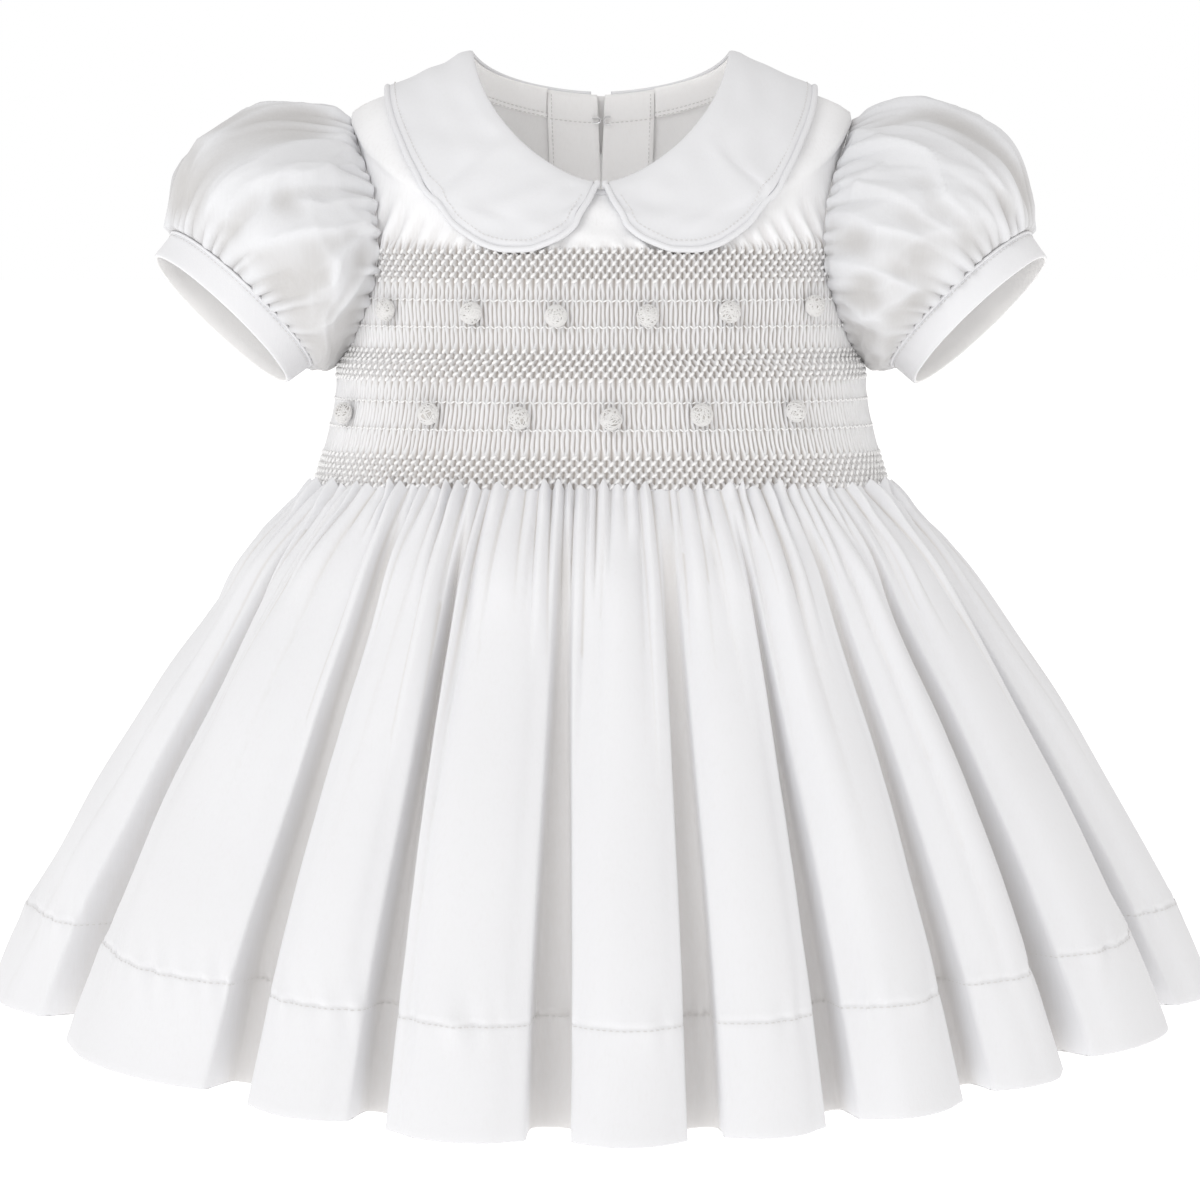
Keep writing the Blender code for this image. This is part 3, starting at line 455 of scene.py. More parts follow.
def share_along(points):
    """The share of a line's length that lies before each of its points."""
    run = np.concatenate([[0.0], np.cumsum(np.linalg.norm(np.diff(points, axis=0), axis=1))])
    return run / run[-1]


even_turns = np.linspace(-pi / 2, pi / 2, 4001)
even_run = share_along(body(FRONT_ROWS, even_turns, UNDERARM_ROW)) * PLEATS


def pleat_turn(place):
    """How far round the front a place counted in pleats from its left side is."""
    return np.interp(place, even_run, even_turns)


pinches = []
for top, bottom in BANDS:
    pitch = (bottom - top) / (BAND_STITCH_ROWS - 1)
    for row in range(BAND_STITCH_ROWS):
        above = RELEASE if row == 0 and top > SMOCK_TOP + 0.02 else pitch
        below = RELEASE if row == BAND_STITCH_ROWS - 1 and bottom < 0.97 else pitch
        pinches.append((top + pitch * row, row % 2, JOINED, above, below))
for row, v in enumerate(CABLES):
    pinches.append((v, (row + 1) % 2, PINCHED, CABLE_REACH, CABLE_REACH))

draw = np.random.default_rng(11)
pleat_number = np.arange(PLEATS)
drift_wave = draw.uniform(*DRIFT_WAVES, PLEATS)
drift_start = draw.uniform(0, 2 * pi, PLEATS)
drift_size = draw.uniform(*DRIFT_SIZES, PLEATS)
height_share = draw.uniform(*PLEAT_HEIGHTS, PLEATS)


def crest_places(v):
    """Where the crests of all pleats are on row v, and how far they are pinched there."""
    lean = drift_size * np.sin(2 * pi * v / drift_wave + drift_start)
    pinch = 0.0
    for at, parity, size, above, below in pinches:
        reach = above if v < at else below
        close = np.cos(pi / 2 * np.clip((v - at) / reach, -1, 1)) ** 2
        way = np.where((pleat_number + parity) % 2 == 0, 1, -1)
        lean = lean * (1 - 0.7 * close) + size * close * way
        pinch = max(pinch, close * size / JOINED)
    return pleat_number + 0.5 + lean, pinch


smock_v = [SMOCK_TOP + 0.0015]
for k, (top, bottom) in enumerate(BANDS):
    smock_v += np.linspace(top, bottom, ROWS_TO_A_STITCH * (BAND_STITCH_ROWS - 1) + 1).tolist()
for start, end in ((BANDS[0][1], BANDS[1][0]), (BANDS[1][1], BANDS[2][0])):
    smock_v += np.linspace(start, end, RIB_ROWS)[1:-1].tolist()
smock_v = np.array(sorted(smock_v + list(CABLES) + [1.0]))
yoke_v = np.array([
    0.0, 0.03, 0.06, 0.09, 0.12, 0.15, 0.17, 0.19, 0.21, 0.23, 0.25, 0.265, 0.28, 0.295, 0.31, 0.32,
    0.33, 0.34, 0.348, 0.354,
])
front_grid = []
front_painted_shade = []
for v in np.concatenate([yoke_v, smock_v]):
    end = float(edge_turn(FRONT_ROWS, v))
    crests, pinch = crest_places(max(v, SMOCK_TOP))
    gaps = np.diff(crests, prepend=crests[0] - 1, append=crests[-1] + 1)
    before = np.concatenate([[crests[0] - 1], crests])
    after = np.concatenate([crests, [crests[-1] + 1]])
    valleys = (before + after) / 2
    open_share = ease((gaps - CLOSED_GAP) / OPENING_GAP)
    floors = CLOSED_FLOOR + (PLEAT_FLOOR - CLOSED_FLOOR) * open_share
    tops = PLEAT_HEIGHT * height_share * (1 + PINCH_RISE * pinch)
    places = [valleys[0]]
    heights = [floors[0]]
    # Painted shade at each point: full in the open valleys between the pleats, a little on the rib
    # sides beside them, and on a band's ribs between its stitches.
    shades = [open_share[0]]
    in_band = any(top <= v <= bottom for top, bottom in BANDS)
    between = BAND_RIB_SHADE * (1 - pinch) if in_band else 0.0
    for k in range(PLEATS):
        for post in PLEAT_POSTS:
            side = gaps[k] if post < 0 else gaps[k + 1]
            places.append(crests[k] + post * min(side, 1.0))
            foot = floors[k] if post < 0 else floors[k + 1]
            heights.append(tops[k] if post == 0 else foot + (tops[k] - foot) * RIB_SIDE_HEIGHT)
            beside = open_share[k] if post < 0 else open_share[k + 1]
            shades.append(between if post == 0 else between + RIB_SIDE_SHADE * beside)
        places.append(valleys[k + 1])
        heights.append(floors[k + 1])
        shades.append(open_share[k + 1])
    places = np.array(places)
    heights = np.array(heights)
    grown = ease((v - SMOCK_TOP + YOKE_RUN) / YOKE_RUN)
    turns = pleat_turn(places)
    if v < SMOCK_TOP:
        fold = np.sin(2 * pi * places / YOKE_FOLD_PLEATS + 1.7 * np.sin(places / 9.0))
        fade = ease((v - SMOCK_TOP + YOKE_FOLD_RUN) / YOKE_FOLD_RUN) ** 2
        strong = 0.6 + 0.4 * np.sin(places / 5.0 + 2.0)
        soft = fold * YOKE_FOLD_HEIGHT * fade * (1 - grown) * strong
        rumple = uneven(turns * BODY_ACROSS, v * BODY_DOWN, 0.028, 5)
        soft = soft + YOKE_RUMPLE * rumple * ease(v / 0.1)
        heights = heights * grown * 0.8 + soft
    beyond = np.clip((end - np.abs(turns)) / 0.02, 0, 1)
    kept = np.clip(turns, -end, end)
    down = below_binding(FRONT_ROWS, kept, np.full(len(kept), v))
    front_grid.append(shifted(laid(FRONT_ROWS, kept, down, heights * beyond), -1))
    shades = np.array(shades) * grown
    # The yoke's soft folds get painted shade in their hollows too.
    if v < SMOCK_TOP:
        shades = shades + YOKE_FOLD_SHADE * ease(0.5 - fold) * fade * (1 - grown)
    front_painted_shade.append(shades)
front_finish = cotton("front_cloth", FRONT_COTTON, PLEAT_SHADE, rumple=0.00012, rumple_scale=90.0)
front = cloth(
    "front_cloth", np.array(front_grid), front_finish, painted_shading=np.array(front_painted_shade),
    replaced=["front_bodice"],
)


# White embroidery thread holds the pleats: a small plump stitch where two pleats are joined in the
# honeycomb bands, and slanting strands that make a thin rope along each cable row. The seams of the
# dress are sewn in a greyer thread.
THREAD = (0.87, 0.868, 0.866)
SEAM_THREAD = (0.700, 0.690, 0.680)
JOINT_LENGTH = 0.0029
JOINT_THICKNESS = 0.00155
JOINT_SLANT = (-0.0080, -0.0028)
JOINT_JITTER = 0.0012
JOINT_LIFT = 1.2
STRAND_LIFT = 1.15
STRAND_LENGTH = 0.0023
STRAND_THICKNESS = 0.00080
STRAND_SLANTS = (-0.0030, 0.0052)
STITCH_APART = 0.01

tree = bpy.data.node_groups.new("stitches along a line", "GeometryNodeTree")
tree.interface.new_socket("Geometry", in_out="INPUT", socket_type="NodeSocketGeometry")
for label, size in (("Spacing", 0.002), ("Length", 0.0015), ("Thickness", 0.0003)):
    socket = tree.interface.new_socket(label, in_out="INPUT", socket_type="NodeSocketFloat")
    socket.default_value = size
tree.interface.new_socket("Thread", in_out="INPUT", socket_type="NodeSocketMaterial")
tree.interface.new_socket("Geometry", in_out="OUTPUT", socket_type="NodeSocketGeometry")
given = tree.nodes.new("NodeGroupInput")
result = tree.nodes.new("NodeGroupOutput")
to_curve = tree.nodes.new("GeometryNodeMeshToCurve")
to_points = tree.nodes.new("GeometryNodeCurveToPoints")
to_points.mode = "LENGTH"
along = tree.nodes.new("FunctionNodeAlignRotationToVector")
along.axis = "Z"
ball = tree.nodes.new("GeometryNodeMeshUVSphere")
ball.inputs["Segments"].default_value = 6
ball.inputs["Rings"].default_value = 4
ball.inputs["Radius"].default_value = 0.5
sizes = tree.nodes.new("ShaderNodeCombineXYZ")
place_on = tree.nodes.new("GeometryNodeInstanceOnPoints")
realize = tree.nodes.new("GeometryNodeRealizeInstances")
smooth = tree.nodes.new("GeometryNodeSetShadeSmooth")
dye = tree.nodes.new("GeometryNodeSetMaterial")
for source, out, target, into in (
    (given, "Geometry", to_curve, "Mesh"),
    (to_curve, "Curve", to_points, "Curve"),
    (given, "Spacing", to_points, "Length"),
    (to_points, "Tangent", along, "Vector"),
    (to_points, "Points", place_on, "Points"),
    (ball, "Mesh", place_on, "Instance"),
    (along, "Rotation", place_on, "Rotation"),
    (given, "Thickness", sizes, "X"),
    (given, "Thickness", sizes, "Y"),
    (given, "Length", sizes, "Z"),
    (sizes, "Vector", place_on, "Scale"),
    (place_on, "Instances", realize, "Geometry"),
    (realize, "Geometry", smooth, "Geometry"),
    (smooth, "Geometry", dye, "Geometry"),
    (given, "Thread", dye, "Material"),
    (dye, "Geometry", result, "Geometry"),
):
    tree.links.new(source.outputs[out], target.inputs[into])


def sewn(name, lines, spacing, length, thickness, finish, closed=False):
    """Stitches of thread along lines of points."""
    points = []
    edges = []
    for line in lines:
        first = len(points)
        points += [tuple(point) for point in line]
        edges += [(first + k, first + k + 1) for k in range(len(line) - 1)]
        if closed:
            edges.append((len(points) - 1, first))
    mesh = bpy.data.meshes.new(name)
    mesh.from_pydata(points, edges, [])
    made = added(name, mesh)
    stitches = made.modifiers.new("stitches", "NODES")
    stitches.node_group = tree
    values = {"Spacing": spacing, "Length": length, "Thickness": thickness, "Thread": finish}
    for item in tree.interface.items_tree:
        if item.in_out == "INPUT" and item.name in values:
            stitches[item.identifier] = values[item.name]
    bpy.context.view_layer.update()
    shape = made.evaluated_get(bpy.context.evaluated_depsgraph_get())
    plain = bpy.data.meshes.new_from_object(shape)
    made.modifiers.clear()
    made.data = plain
    bpy.data.meshes.remove(mesh)
    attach(made, "root")
    return made


thread = cotton("thread", THREAD, THREAD, grain=0.00006, rumple=0.0)
seam_thread = cotton("seam_thread", SEAM_THREAD, SEAM_THREAD, grain=0.00006, rumple=0.0)
joints = []
draw = np.random.default_rng(17)
for at, parity, size, _, _ in pinches:
    if size != JOINED:
        continue
    crests, _ = crest_places(at)
    end = float(edge_turn(FRONT_ROWS, at))
    for k in range(PLEATS - 1):
        middle = (crests[k] + crests[k + 1]) / 2
        if crests[k + 1] - crests[k] < 0.5 and abs(pleat_turn(middle)) < end - 0.02:
            turn = pleat_turn(np.array([middle, middle + 0.4]))
            slant = draw.uniform(*JOINT_SLANT)
            jitter = draw.uniform(-JOINT_JITTER, JOINT_JITTER)
            down = np.array([at, at + slant]) + jitter
            joints.append(laid(FRONT_ROWS, turn, down, PLEAT_HEIGHT * JOINT_LIFT))
sewn("band_stitches", joints, STITCH_APART, JOINT_LENGTH, JOINT_THICKNESS, thread)
strands = []
for v in CABLES:
    end = float(edge_turn(FRONT_ROWS, v))
    for k, place in enumerate(np.arange(0.5, PLEATS, 1.0)):
        slant = STRAND_SLANTS[k % 2]
        turn = pleat_turn(np.array([place + 0.5, place + 1.0]))
        if np.abs(turn).max() < end - 0.01:
            down = np.array([v, v + slant])
            strands.append(laid(FRONT_ROWS, turn, down, PLEAT_HEIGHT * STRAND_LIFT))
sewn(
    "cable_stitches", strands, STITCH_APART, STRAND_LENGTH, STRAND_THICKNESS, thread,
)


# The two backs are cut plain from the same cotton and meet along the centre back opening.
BACK_OPENING = ((0.0, 0.0018), (0.06, 0.0012), (0.095, 0.0001), (1.0, 0.0001))
BACK_ROW_COUNT = 70
BACK_COLUMN_COUNT = 60
BACK_WALL = 0.0010
BACK_RUMPLE = 0.0011
WAIST_RIPPLE = 0.0007
# BACK_COTTON is a lighter copy of the cotton, painted light on the backs and the tab, whose inner
# side shows in the neck opening.
BACK_COTTON = (0.860, 0.852, 0.846)
SIDES = (("left", -1), ("right", 1))
for side, sign in SIDES:
    grid = []
    for v in np.linspace(0, 1, BACK_ROW_COUNT):
        end = float(edge_turn(BACK_ROWS, v))
        start = float(turn_at(BACK_ROWS, v, glide(BACK_OPENING, v)[0]))
        turns = np.linspace(start, end, BACK_COLUMN_COUNT)
        calm = ease((end - turns) / 0.15) * ease((turns - start) / 0.12) * ease(v / 0.12)
        rumple = BACK_RUMPLE * uneven(sign * turns * 0.10, v * BODY_DOWN, 0.035, 31) * calm
        ripple = np.sin(turns * 60 + 2 * np.sin(v * 7)) * ease((v - 0.72) / 0.25)
        rumple = rumple + WAIST_RIPPLE * ripple * calm
        down = below_binding(BACK_ROWS, turns, np.full(len(turns), v))
        grid.append(shifted(laid(BACK_ROWS, sign * turns, down, rumple), 1))
    back = cloth(
        f"back_cloth_{side}", np.array(grid), cotton(f"back_cloth_{side}", BACK_COTTON),
        flip=sign > 0, wall=BACK_WALL, replaced=[f"back_bodice_{side}"],
    )


# A narrow folded binding finishes the whole neck edge. It shows between the ends of the collar.
BINDING_HEIGHT = 0.0038
THIN_WALL = 0.0009
BINDING_FILL = ((0.0, -0.0009), (0.12, 0.0001), (0.5, 0.0004), (0.88, 0.0001), (1.0, -0.0006))
back_turns = np.linspace(92, 177.6, 60)
binding_turns = np.concatenate([-back_turns[::-1], np.linspace(-90, 90, 160), back_turns])
binding_end = row_after(binding_turns, BINDING_HEIGHT)
grid = [round_neck(binding_turns, binding_end * share, height) for share, height in BINDING_FILL]
binding = cloth(
    "binding_cloth", np.array(grid), cotton("binding_cloth"), wall=THIN_WALL,
    replaced=["neck_binding"],
)


# Inside the back neck each side has a shaped facing, turned in and stitched down along its lower
# edge, and a straight placket beside the opening with a line of stitches along its outer edge.
FACING_DEPTH = 0.012
PLACKET_WIDTH = 0.023
OPENING = ((0.0, 0.0018), (0.16, 0.0005), (0.3, 0.0003), (1.0, 0.0003))
INSIDE = -0.0015
# From the neck edge down: share of the depth, length over the edge and height over the panel.
FACING_LINES = (
    (0.00, 0.0012, -0.0006), (0.00, 0.0010, -0.0012), (0.02, 0.0, INSIDE - 0.0001),
    (0.20, 0.0, INSIDE - 0.0003), (0.45, 0.0, INSIDE - 0.0003), (0.70, 0.0, INSIDE - 0.0003),
    (0.80, 0.0, INSIDE - 0.0001), (0.90, 0.0, INSIDE - 0.0004), (0.96, 0.0, INSIDE - 0.0001),
    (1.00, 0.0, INSIDE + 0.0001),
)
FACING_FIRST = 176.0
FACING_SEAMS = (0.80, 0.96)
SEAM_SPACING = 0.0021
SEAM_STITCH = 0.0016
SEAM_THICKNESS = 0.00040
PLACKET_SEAM = 0.93
PLACKET_RISE = 0.0006
PLACKET_SHARES = (
    0.0, 0.02, 0.05, 0.1, 0.2, 0.3, 0.4, 0.5, 0.6, 0.7, 0.8, 0.86, 0.90, 0.93, 0.96, 0.98, 1.0,
)
# INNER_COTTON is a lighter copy of the cotton, painted light on the cloth inside the neck and the
# cuffs, where little light reaches.
INNER_COTTON = (0.945, 0.936, 0.930)
for side, sign in SIDES:
    beside = glide(OPENING, 0.0)[0] + PLACKET_WIDTH + 0.0003
    grid = []
    seams = [[], []]
    for share, over, height in FACING_LINES:
        first = FACING_FIRST
        for _ in range(4):
            down = float(row_after(first, FACING_DEPTH)) * share
            first = 180 - np.degrees(float(turn_at(BACK_ROWS, down, beside)))
        turns = np.linspace(first, 91.0, 80)
        down = row_after(turns, FACING_DEPTH) * share
        up = unit(round_neck(sign * turns, 0.0, 0.0) - round_neck(sign * turns, 0.01, 0.0))
        grid.append(round_neck(sign * turns, down, height) + over * up)
        if share in FACING_SEAMS:
            seams[FACING_SEAMS.index(share)] = round_neck(sign * turns, down, height - 0.0011)
    facing = cloth(
        f"facing_cloth_{side}", np.array(grid), cotton(f"facing_cloth_{side}", INNER_COTTON),
        flip=sign > 0, wall=THIN_WALL, replaced=[f"neck_facing_{side}"],
    )
    sewn(
        f"facing_stitches_{side}", seams, SEAM_SPACING, SEAM_STITCH, SEAM_THICKNESS, seam_thread,
    )
    grid = []
    edge = []
    across_row = float(row_after(FACING_FIRST, FACING_DEPTH)) * FACING_SEAMS[1]
    turns = sign * turn_at(BACK_ROWS, across_row, np.linspace(0.003, PLACKET_WIDTH, 12))
    inner_seam = laid(BACK_ROWS, turns, across_row, INSIDE - 0.0019)
    for v in np.concatenate([[0.0, 0.006], np.linspace(0.015, 0.97, 60)]):
        gap = glide(OPENING, v)[0]
        row = []
        over = 0.0012 * ease(1 - v / 0.02)
        for share in PLACKET_SHARES:
            turn = float(turn_at(BACK_ROWS, v, gap + PLACKET_WIDTH * share))
            soft = 0.0003 * uneven(share * PLACKET_WIDTH, v * BODY_DOWN, 0.02, 41 + sign)
            calm = ease(share / 0.06) * ease((1 - share) / 0.06) * ease(v / 0.02)
            raised = (PLACKET_RISE - soft) * calm
            height = INSIDE - raised + 0.0008 * ease(1 - v / 0.02)
            row.append(laid(BACK_ROWS, sign * turn, v, height) + np.array([0.0, 0.0, over]))
        turn = float(turn_at(BACK_ROWS, v, gap + PLACKET_WIDTH * PLACKET_SEAM))
        edge.append(laid(BACK_ROWS, sign * turn, v, INSIDE - 0.0018))
        grid.append(row)
    placket = cloth(
        f"placket_cloth_{side}", np.array(grid), cotton(f"placket_cloth_{side}", INNER_COTTON),
        flip=sign > 0, wall=THIN_WALL, replaced=[f"back_placket_{side}"],
    )
    sewn(
        f"placket_stitches_{side}", [edge, inner_seam], SEAM_SPACING, SEAM_STITCH, SEAM_THICKNESS,
        seam_thread,
    )


# The collar is two rounded halves of doubled cotton, rolled over at the neck and pressed flat on
# the bodice. A corded piping is sewn round the edge of each, with a line of topstitching inside.
# Round each half from the front: share of the way, how far round its neck line and its edge are in
# degrees, and on which row the edge lies.
COLLAR = (
    (0.00, 0.9, 4.6, 0.220),
    (0.04, 3.0, 6.8, 0.280),
    (0.08, 6.5, 9.1, 0.330),
    (0.13, 11.5, 13.2, 0.366),
    (0.18, 17.0, 18.0, 0.367),
    (0.23, 22.5, 23.3, 0.349),
    (0.28, 28.5, 29.5, 0.317),
    (0.33, 35.0, 35.4, 0.273),
    (0.37, 39.5, 38.9, 0.198),
    (0.41, 44.5, 43.0, 0.148),
    (0.45, 51.5, 51.1, 0.127),
    (0.50, 60.5, 60.3, 0.115),
    (0.55, 70.5, 70.3, 0.109),
    (0.60, 82.5, 82.5, 0.105),
    (0.63, 90.0, 90.0, 0.104),
    (0.66, 98.0, 98.0, 0.106),
    (0.76, 122.0, 121.0, 0.130),
    (0.87, 152.0, 149.5, 0.158),
    (0.93, 164.0, 161.0, 0.164),
    (0.965, 170.5, 168.0, 0.160),
    (0.985, 174.5, 172.2, 0.147),
    (1.00, 177.3, 174.6, 0.118),
)
# Across the collar: share of its width, height over the panel, rise above the neck edge and the
# further rise where the roll is full.
COLLAR_ROWS = (
    (0.00, -0.0002, 0.0011, 0.0008),
    (0.005, 0.0009, 0.0019, 0.0012),
    (0.012, 0.0019, 0.0020, 0.0012),
    (0.03, 0.0029, 0.0010, 0.0006),
    (0.06, 0.0033, 0.0, 0.0),
    (0.35, 0.0031, 0.0, 0.0),
    (0.70, 0.0033, 0.0, 0.0),
    (1.00, 0.0038, 0.0, 0.0),
)
ROLL = ((0.0, 0.0), (30.0, 1.0), (100.0, 1.0), (150.0, 0.0), (180.0, 0.0))
COLLAR_WALL = 0.0016
COLLAR_SWELL = 0.00050
COLLAR_EDGE_DIP = 0.0006
COLLAR_COLUMNS = 170
PIPING_RADIUS = 0.0014
PIPING_HEIGHT = 0.0031
PIPING_INSET = 0.0003
BORDER = 0.0026
TOPSTITCH_INSET = 0.0016
TOPSTITCH_HEIGHT = 0.0040
# COLLAR_COTTON is a darker copy of the cotton, painted shade on the collar and its piping.
COLLAR_COTTON = (0.752, 0.755, 0.774)
END_STEPS = (0.97, 0.92, 0.85, 0.76, 0.66, 0.56, 0.46, 0.36, 0.26, 0.17, 0.08)


def drawn_in(line, distance, steps=6):
    """A line of (degrees, row) round the collar, moved that far in towards its middle."""
    for _ in range(steps):
        degrees, row = line.T
        here = round_neck(degrees, row, 0.0)
        ahead = unit(np.gradient(here, axis=0))
        normal = unit(round_neck(degrees, row, 0.001) - here)
        move = distance / steps * np.cross(normal, ahead)
        by_degree = round_neck(degrees + 1, row, 0.0) - here
        by_row = (round_neck(degrees, row + 0.004, 0.0) - here) / 0.004
        pairs = (
            (by_degree, by_degree), (by_degree, by_row), (by_row, by_row), (by_degree, move),
            (by_row, move),
        )
        aa, ab, bb, am, bm = (np.sum(one * other, -1) for one, other in pairs)
        scale = aa * bb - ab * ab
        line = line + np.stack([(am * bb - bm * ab) / scale, (bm * aa - am * ab) / scale], -1)
    return line


def smoothed(line, turns):
    """A line with its neighbours averaged that many times, its ends kept."""
    for _ in range(turns):
        inner = (line[:-2] + 2 * line[1:-1] + line[2:]) / 4
        line = np.concatenate([line[:1], inner, line[-1:]])
    return line


def tube(name, lines, radius, finish, sides=3, closed=False, replaced=()):
    """A round cord or thread along lines of points."""
    curve = bpy.data.curves.new(name, "CURVE")
    curve.dimensions = "3D"
    curve.bevel_depth = radius
    curve.bevel_resolution = sides
    curve.use_fill_caps = True
    for points in lines:
        line = curve.splines.new("POLY")
        line.points.add(len(points) - 1)
        for target, point in zip(line.points, points):
            target.co = (*point, 1.0)
        line.use_cyclic_u = closed
        line.use_smooth = True
    holder = added(name + "_line", curve)
    bpy.context.view_layer.update()
    shape = holder.evaluated_get(bpy.context.evaluated_depsgraph_get())
    mesh = bpy.data.meshes.new_from_object(shape)
    bpy.data.objects.remove(holder)
    bpy.data.curves.remove(curve)
    mesh.name = name
    mesh.materials.clear()
    mesh.materials.append(finish)
    made = added(name, mesh)
    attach(made, "root")
    if replaced:
        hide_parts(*replaced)
    return made


shares = np.linspace(0, 1, COLLAR_COLUMNS)
neck_turns, edge_turns, edge_rows = np.moveaxis(glide(COLLAR, shares), -1, 0)
outline = list(zip(edge_turns, edge_rows))
for width in END_STEPS:
    front_turn = neck_turns[0] + (edge_turns[0] - neck_turns[0]) * width
    back_turn = neck_turns[-1] + (edge_turns[-1] - neck_turns[-1]) * width
    outline.insert(0, (front_turn, edge_rows[0] * width))
    outline.append((back_turn, edge_rows[-1] * width))
outline = smoothed(np.array(outline), 6)
cord_line = drawn_in(outline, PIPING_INSET)
border_line = drawn_in(outline, BORDER - PIPING_RADIUS)
topstitch_line = drawn_in(outline, BORDER + TOPSTITCH_INSET)
stretch = (border_line[-1, 0] - border_line[0, 0]) / (neck_turns[-1] - neck_turns[0])
at_neck = border_line[0, 0] + (neck_turns - neck_turns[0]) * stretch
at_edge, edge_row = border_line[len(END_STEPS):-len(END_STEPS)].T
roll = glide(ROLL, at_neck)[..., 0]
rolled = [0.0, 0.005, 0.012, 0.02, 0.03, 0.045]
widths = np.concatenate([rolled, np.linspace(0.06, 0.96, 34), [0.985, 1.0]])
for side, sign in SIDES:
    grid = []
    for width in widths:
        height, rise, full_rise = glide(COLLAR_ROWS, width)
        turns = sign * (at_neck + (at_edge - at_neck) * width)
        calm = ease(width / 0.12) * ease((1 - width) / 0.10)
        wave = uneven(shares * 0.20 + 0.3 * sign, width * 0.045, 0.022, 53 + sign)
        swell = COLLAR_SWELL * wave * calm
        edge_dip = -COLLAR_EDGE_DIP * ease((width - 0.97) / 0.03)
        points = round_neck(turns, edge_row * width, height + swell + edge_dip)
        up = unit(round_neck(turns, 0.0, 0.0) - round_neck(turns, 0.01, 0.0))
        grid.append(points + (rise + full_rise * roll)[:, None] * up)
    collar = cloth(
        f"collar_cloth_{side}", np.array(grid),
        cotton(f"collar_cloth_{side}", COLLAR_COTTON, rumple=0.0005, rumple_scale=40.0),
        flip=sign < 0, wall=COLLAR_WALL, replaced=[f"collar_{side}"],
    )
    line = round_neck(sign * cord_line[:, 0], cord_line[:, 1], PIPING_HEIGHT)
    tip_height = PIPING_HEIGHT - np.array([0.0, 0.0006])
    tip = round_neck(sign * np.array([0.9, 0.9]), np.array([0.012, 0.0]), tip_height)
    line = np.concatenate([tip[::-1] + np.array([[0, 0, 0.0006], [0, 0, 0]]), line])
    tube(
        f"piping_cord_{side}", [line], PIPING_RADIUS,
        cotton(f"piping_cord_{side}", COLLAR_COTTON, rumple=0.0002, rumple_scale=200.0),
        replaced=[f"piping_{side}"],
    )
    line = round_neck(sign * topstitch_line[:, 0], topstitch_line[:, 1], TOPSTITCH_HEIGHT)[3:-3]
    sewn(
        f"collar_stitches_{side}", [line], SEAM_SPACING, 0.0014, 0.00042, seam_thread,
    )


# The skirt is a front and a back width of cotton, each gathered tightly into the waist. The small
# gathers run together into deep flutes, and a wide hem is turned up inside and stitched.
# Down the skirt: how far out it is, and how full its flutes are.
FLARE = (
    (0.0, 0.0), (0.103, 0.150), (0.25, 0.315), (0.4, 0.479), (0.617, 0.692), (0.795, 0.846),
    (1.0, 1.0),
)
FULLNESS = (
    (0.00, 0.00), (0.05, 0.20), (0.15, 0.50), (0.30, 0.76), (0.50, 0.92), (0.75, 0.98),
    (1.00, 1.00),
)
# Where the valleys and the crests of the flutes lie, in degrees round from the middle.
FRONT_TURNS = (
    -90.0, -78.0, -63.0, -46.3, -35.3, -28.8, -21.0, -13.3, -4.6, 3.2, 9.2, 15.1, 21.8, 30.2, 35.8,
    42.6, 48.8, 58.5, 69.0, 79.5, 90.0,
)
BACK_TURNS = (
    -90.0, -78.0, -66.0, -55.0, -44.5, -33.0, -23.0, -12.0, -2.0, 8.5, 18.5, 30.0, 41.0, 51.0, 60.0,
    76.0, 90.0,
)
# How far the hem drops at the middle, the seed of the gathers and how many there are at the waist.
FRONT_SKIRT = (0.0290, 60, 62)
BACK_SKIRT = (0.0200, 80, 56)
HEM_LINE = 0.825
HEM_HALF_WIDTH = 0.2600
HEM_HALF_DEPTH = 0.1900
HEM_SIDE_Z = -0.4050
FLUTE_SLOPE = 0.236
FLUTE_DEPTH_LIMIT = 0.0165
FLUTE_BROADENING = 0.35
FLUTE_UNDERCUT = 0.237
FLUTES_AT_WAIST = 0.42
HEM_TURN = 0.0014
SKIRT_COLUMNS = 700
HEM_ROWS = 15
HEM_STITCHES = 600
SKIRT_RUMPLE = 0.0009
PUCKER_LENGTH = 0.006
PUCKER_REACH = 0.025
# The small gathers at the waist and the longer ones that they run into: how much of their height
# they start with, how far down they reach and how deep they are.
SMALL_GATHERS = (0.35, 0.30, 0.0046)
LONG_GATHERS = (0.0, 0.70, 0.0052)
TIP_GATHERS = (1.0, 0.06, 1.0)
LONG_SHARE = 2 / 5
GATHER_LIVES = (0.35, 0.7, 1.1, 2.0)
GATHER_CHANCES = (0.3, 0.3, 0.25, 0.15)
ROUNDNESS = 0.50
WALL_START = (0.76, 0.56)
WALL_WIDTH = 0.20
WALL_VARIATION = 0.07
OVERHANG = 0.34
VALLEY_SHADE = 0.50
TIP_RISE = 0.0034
TIP_STAND_OFF = 0.0011
HEM_DIP = 0.0006
HEM_PUCKER = 0.0012


def along_waist(rows, u):
    """The share of the way round the waist that u radians is at."""
    return np.interp(u, even_turns, share_along(body(rows, even_turns, 1.0)))


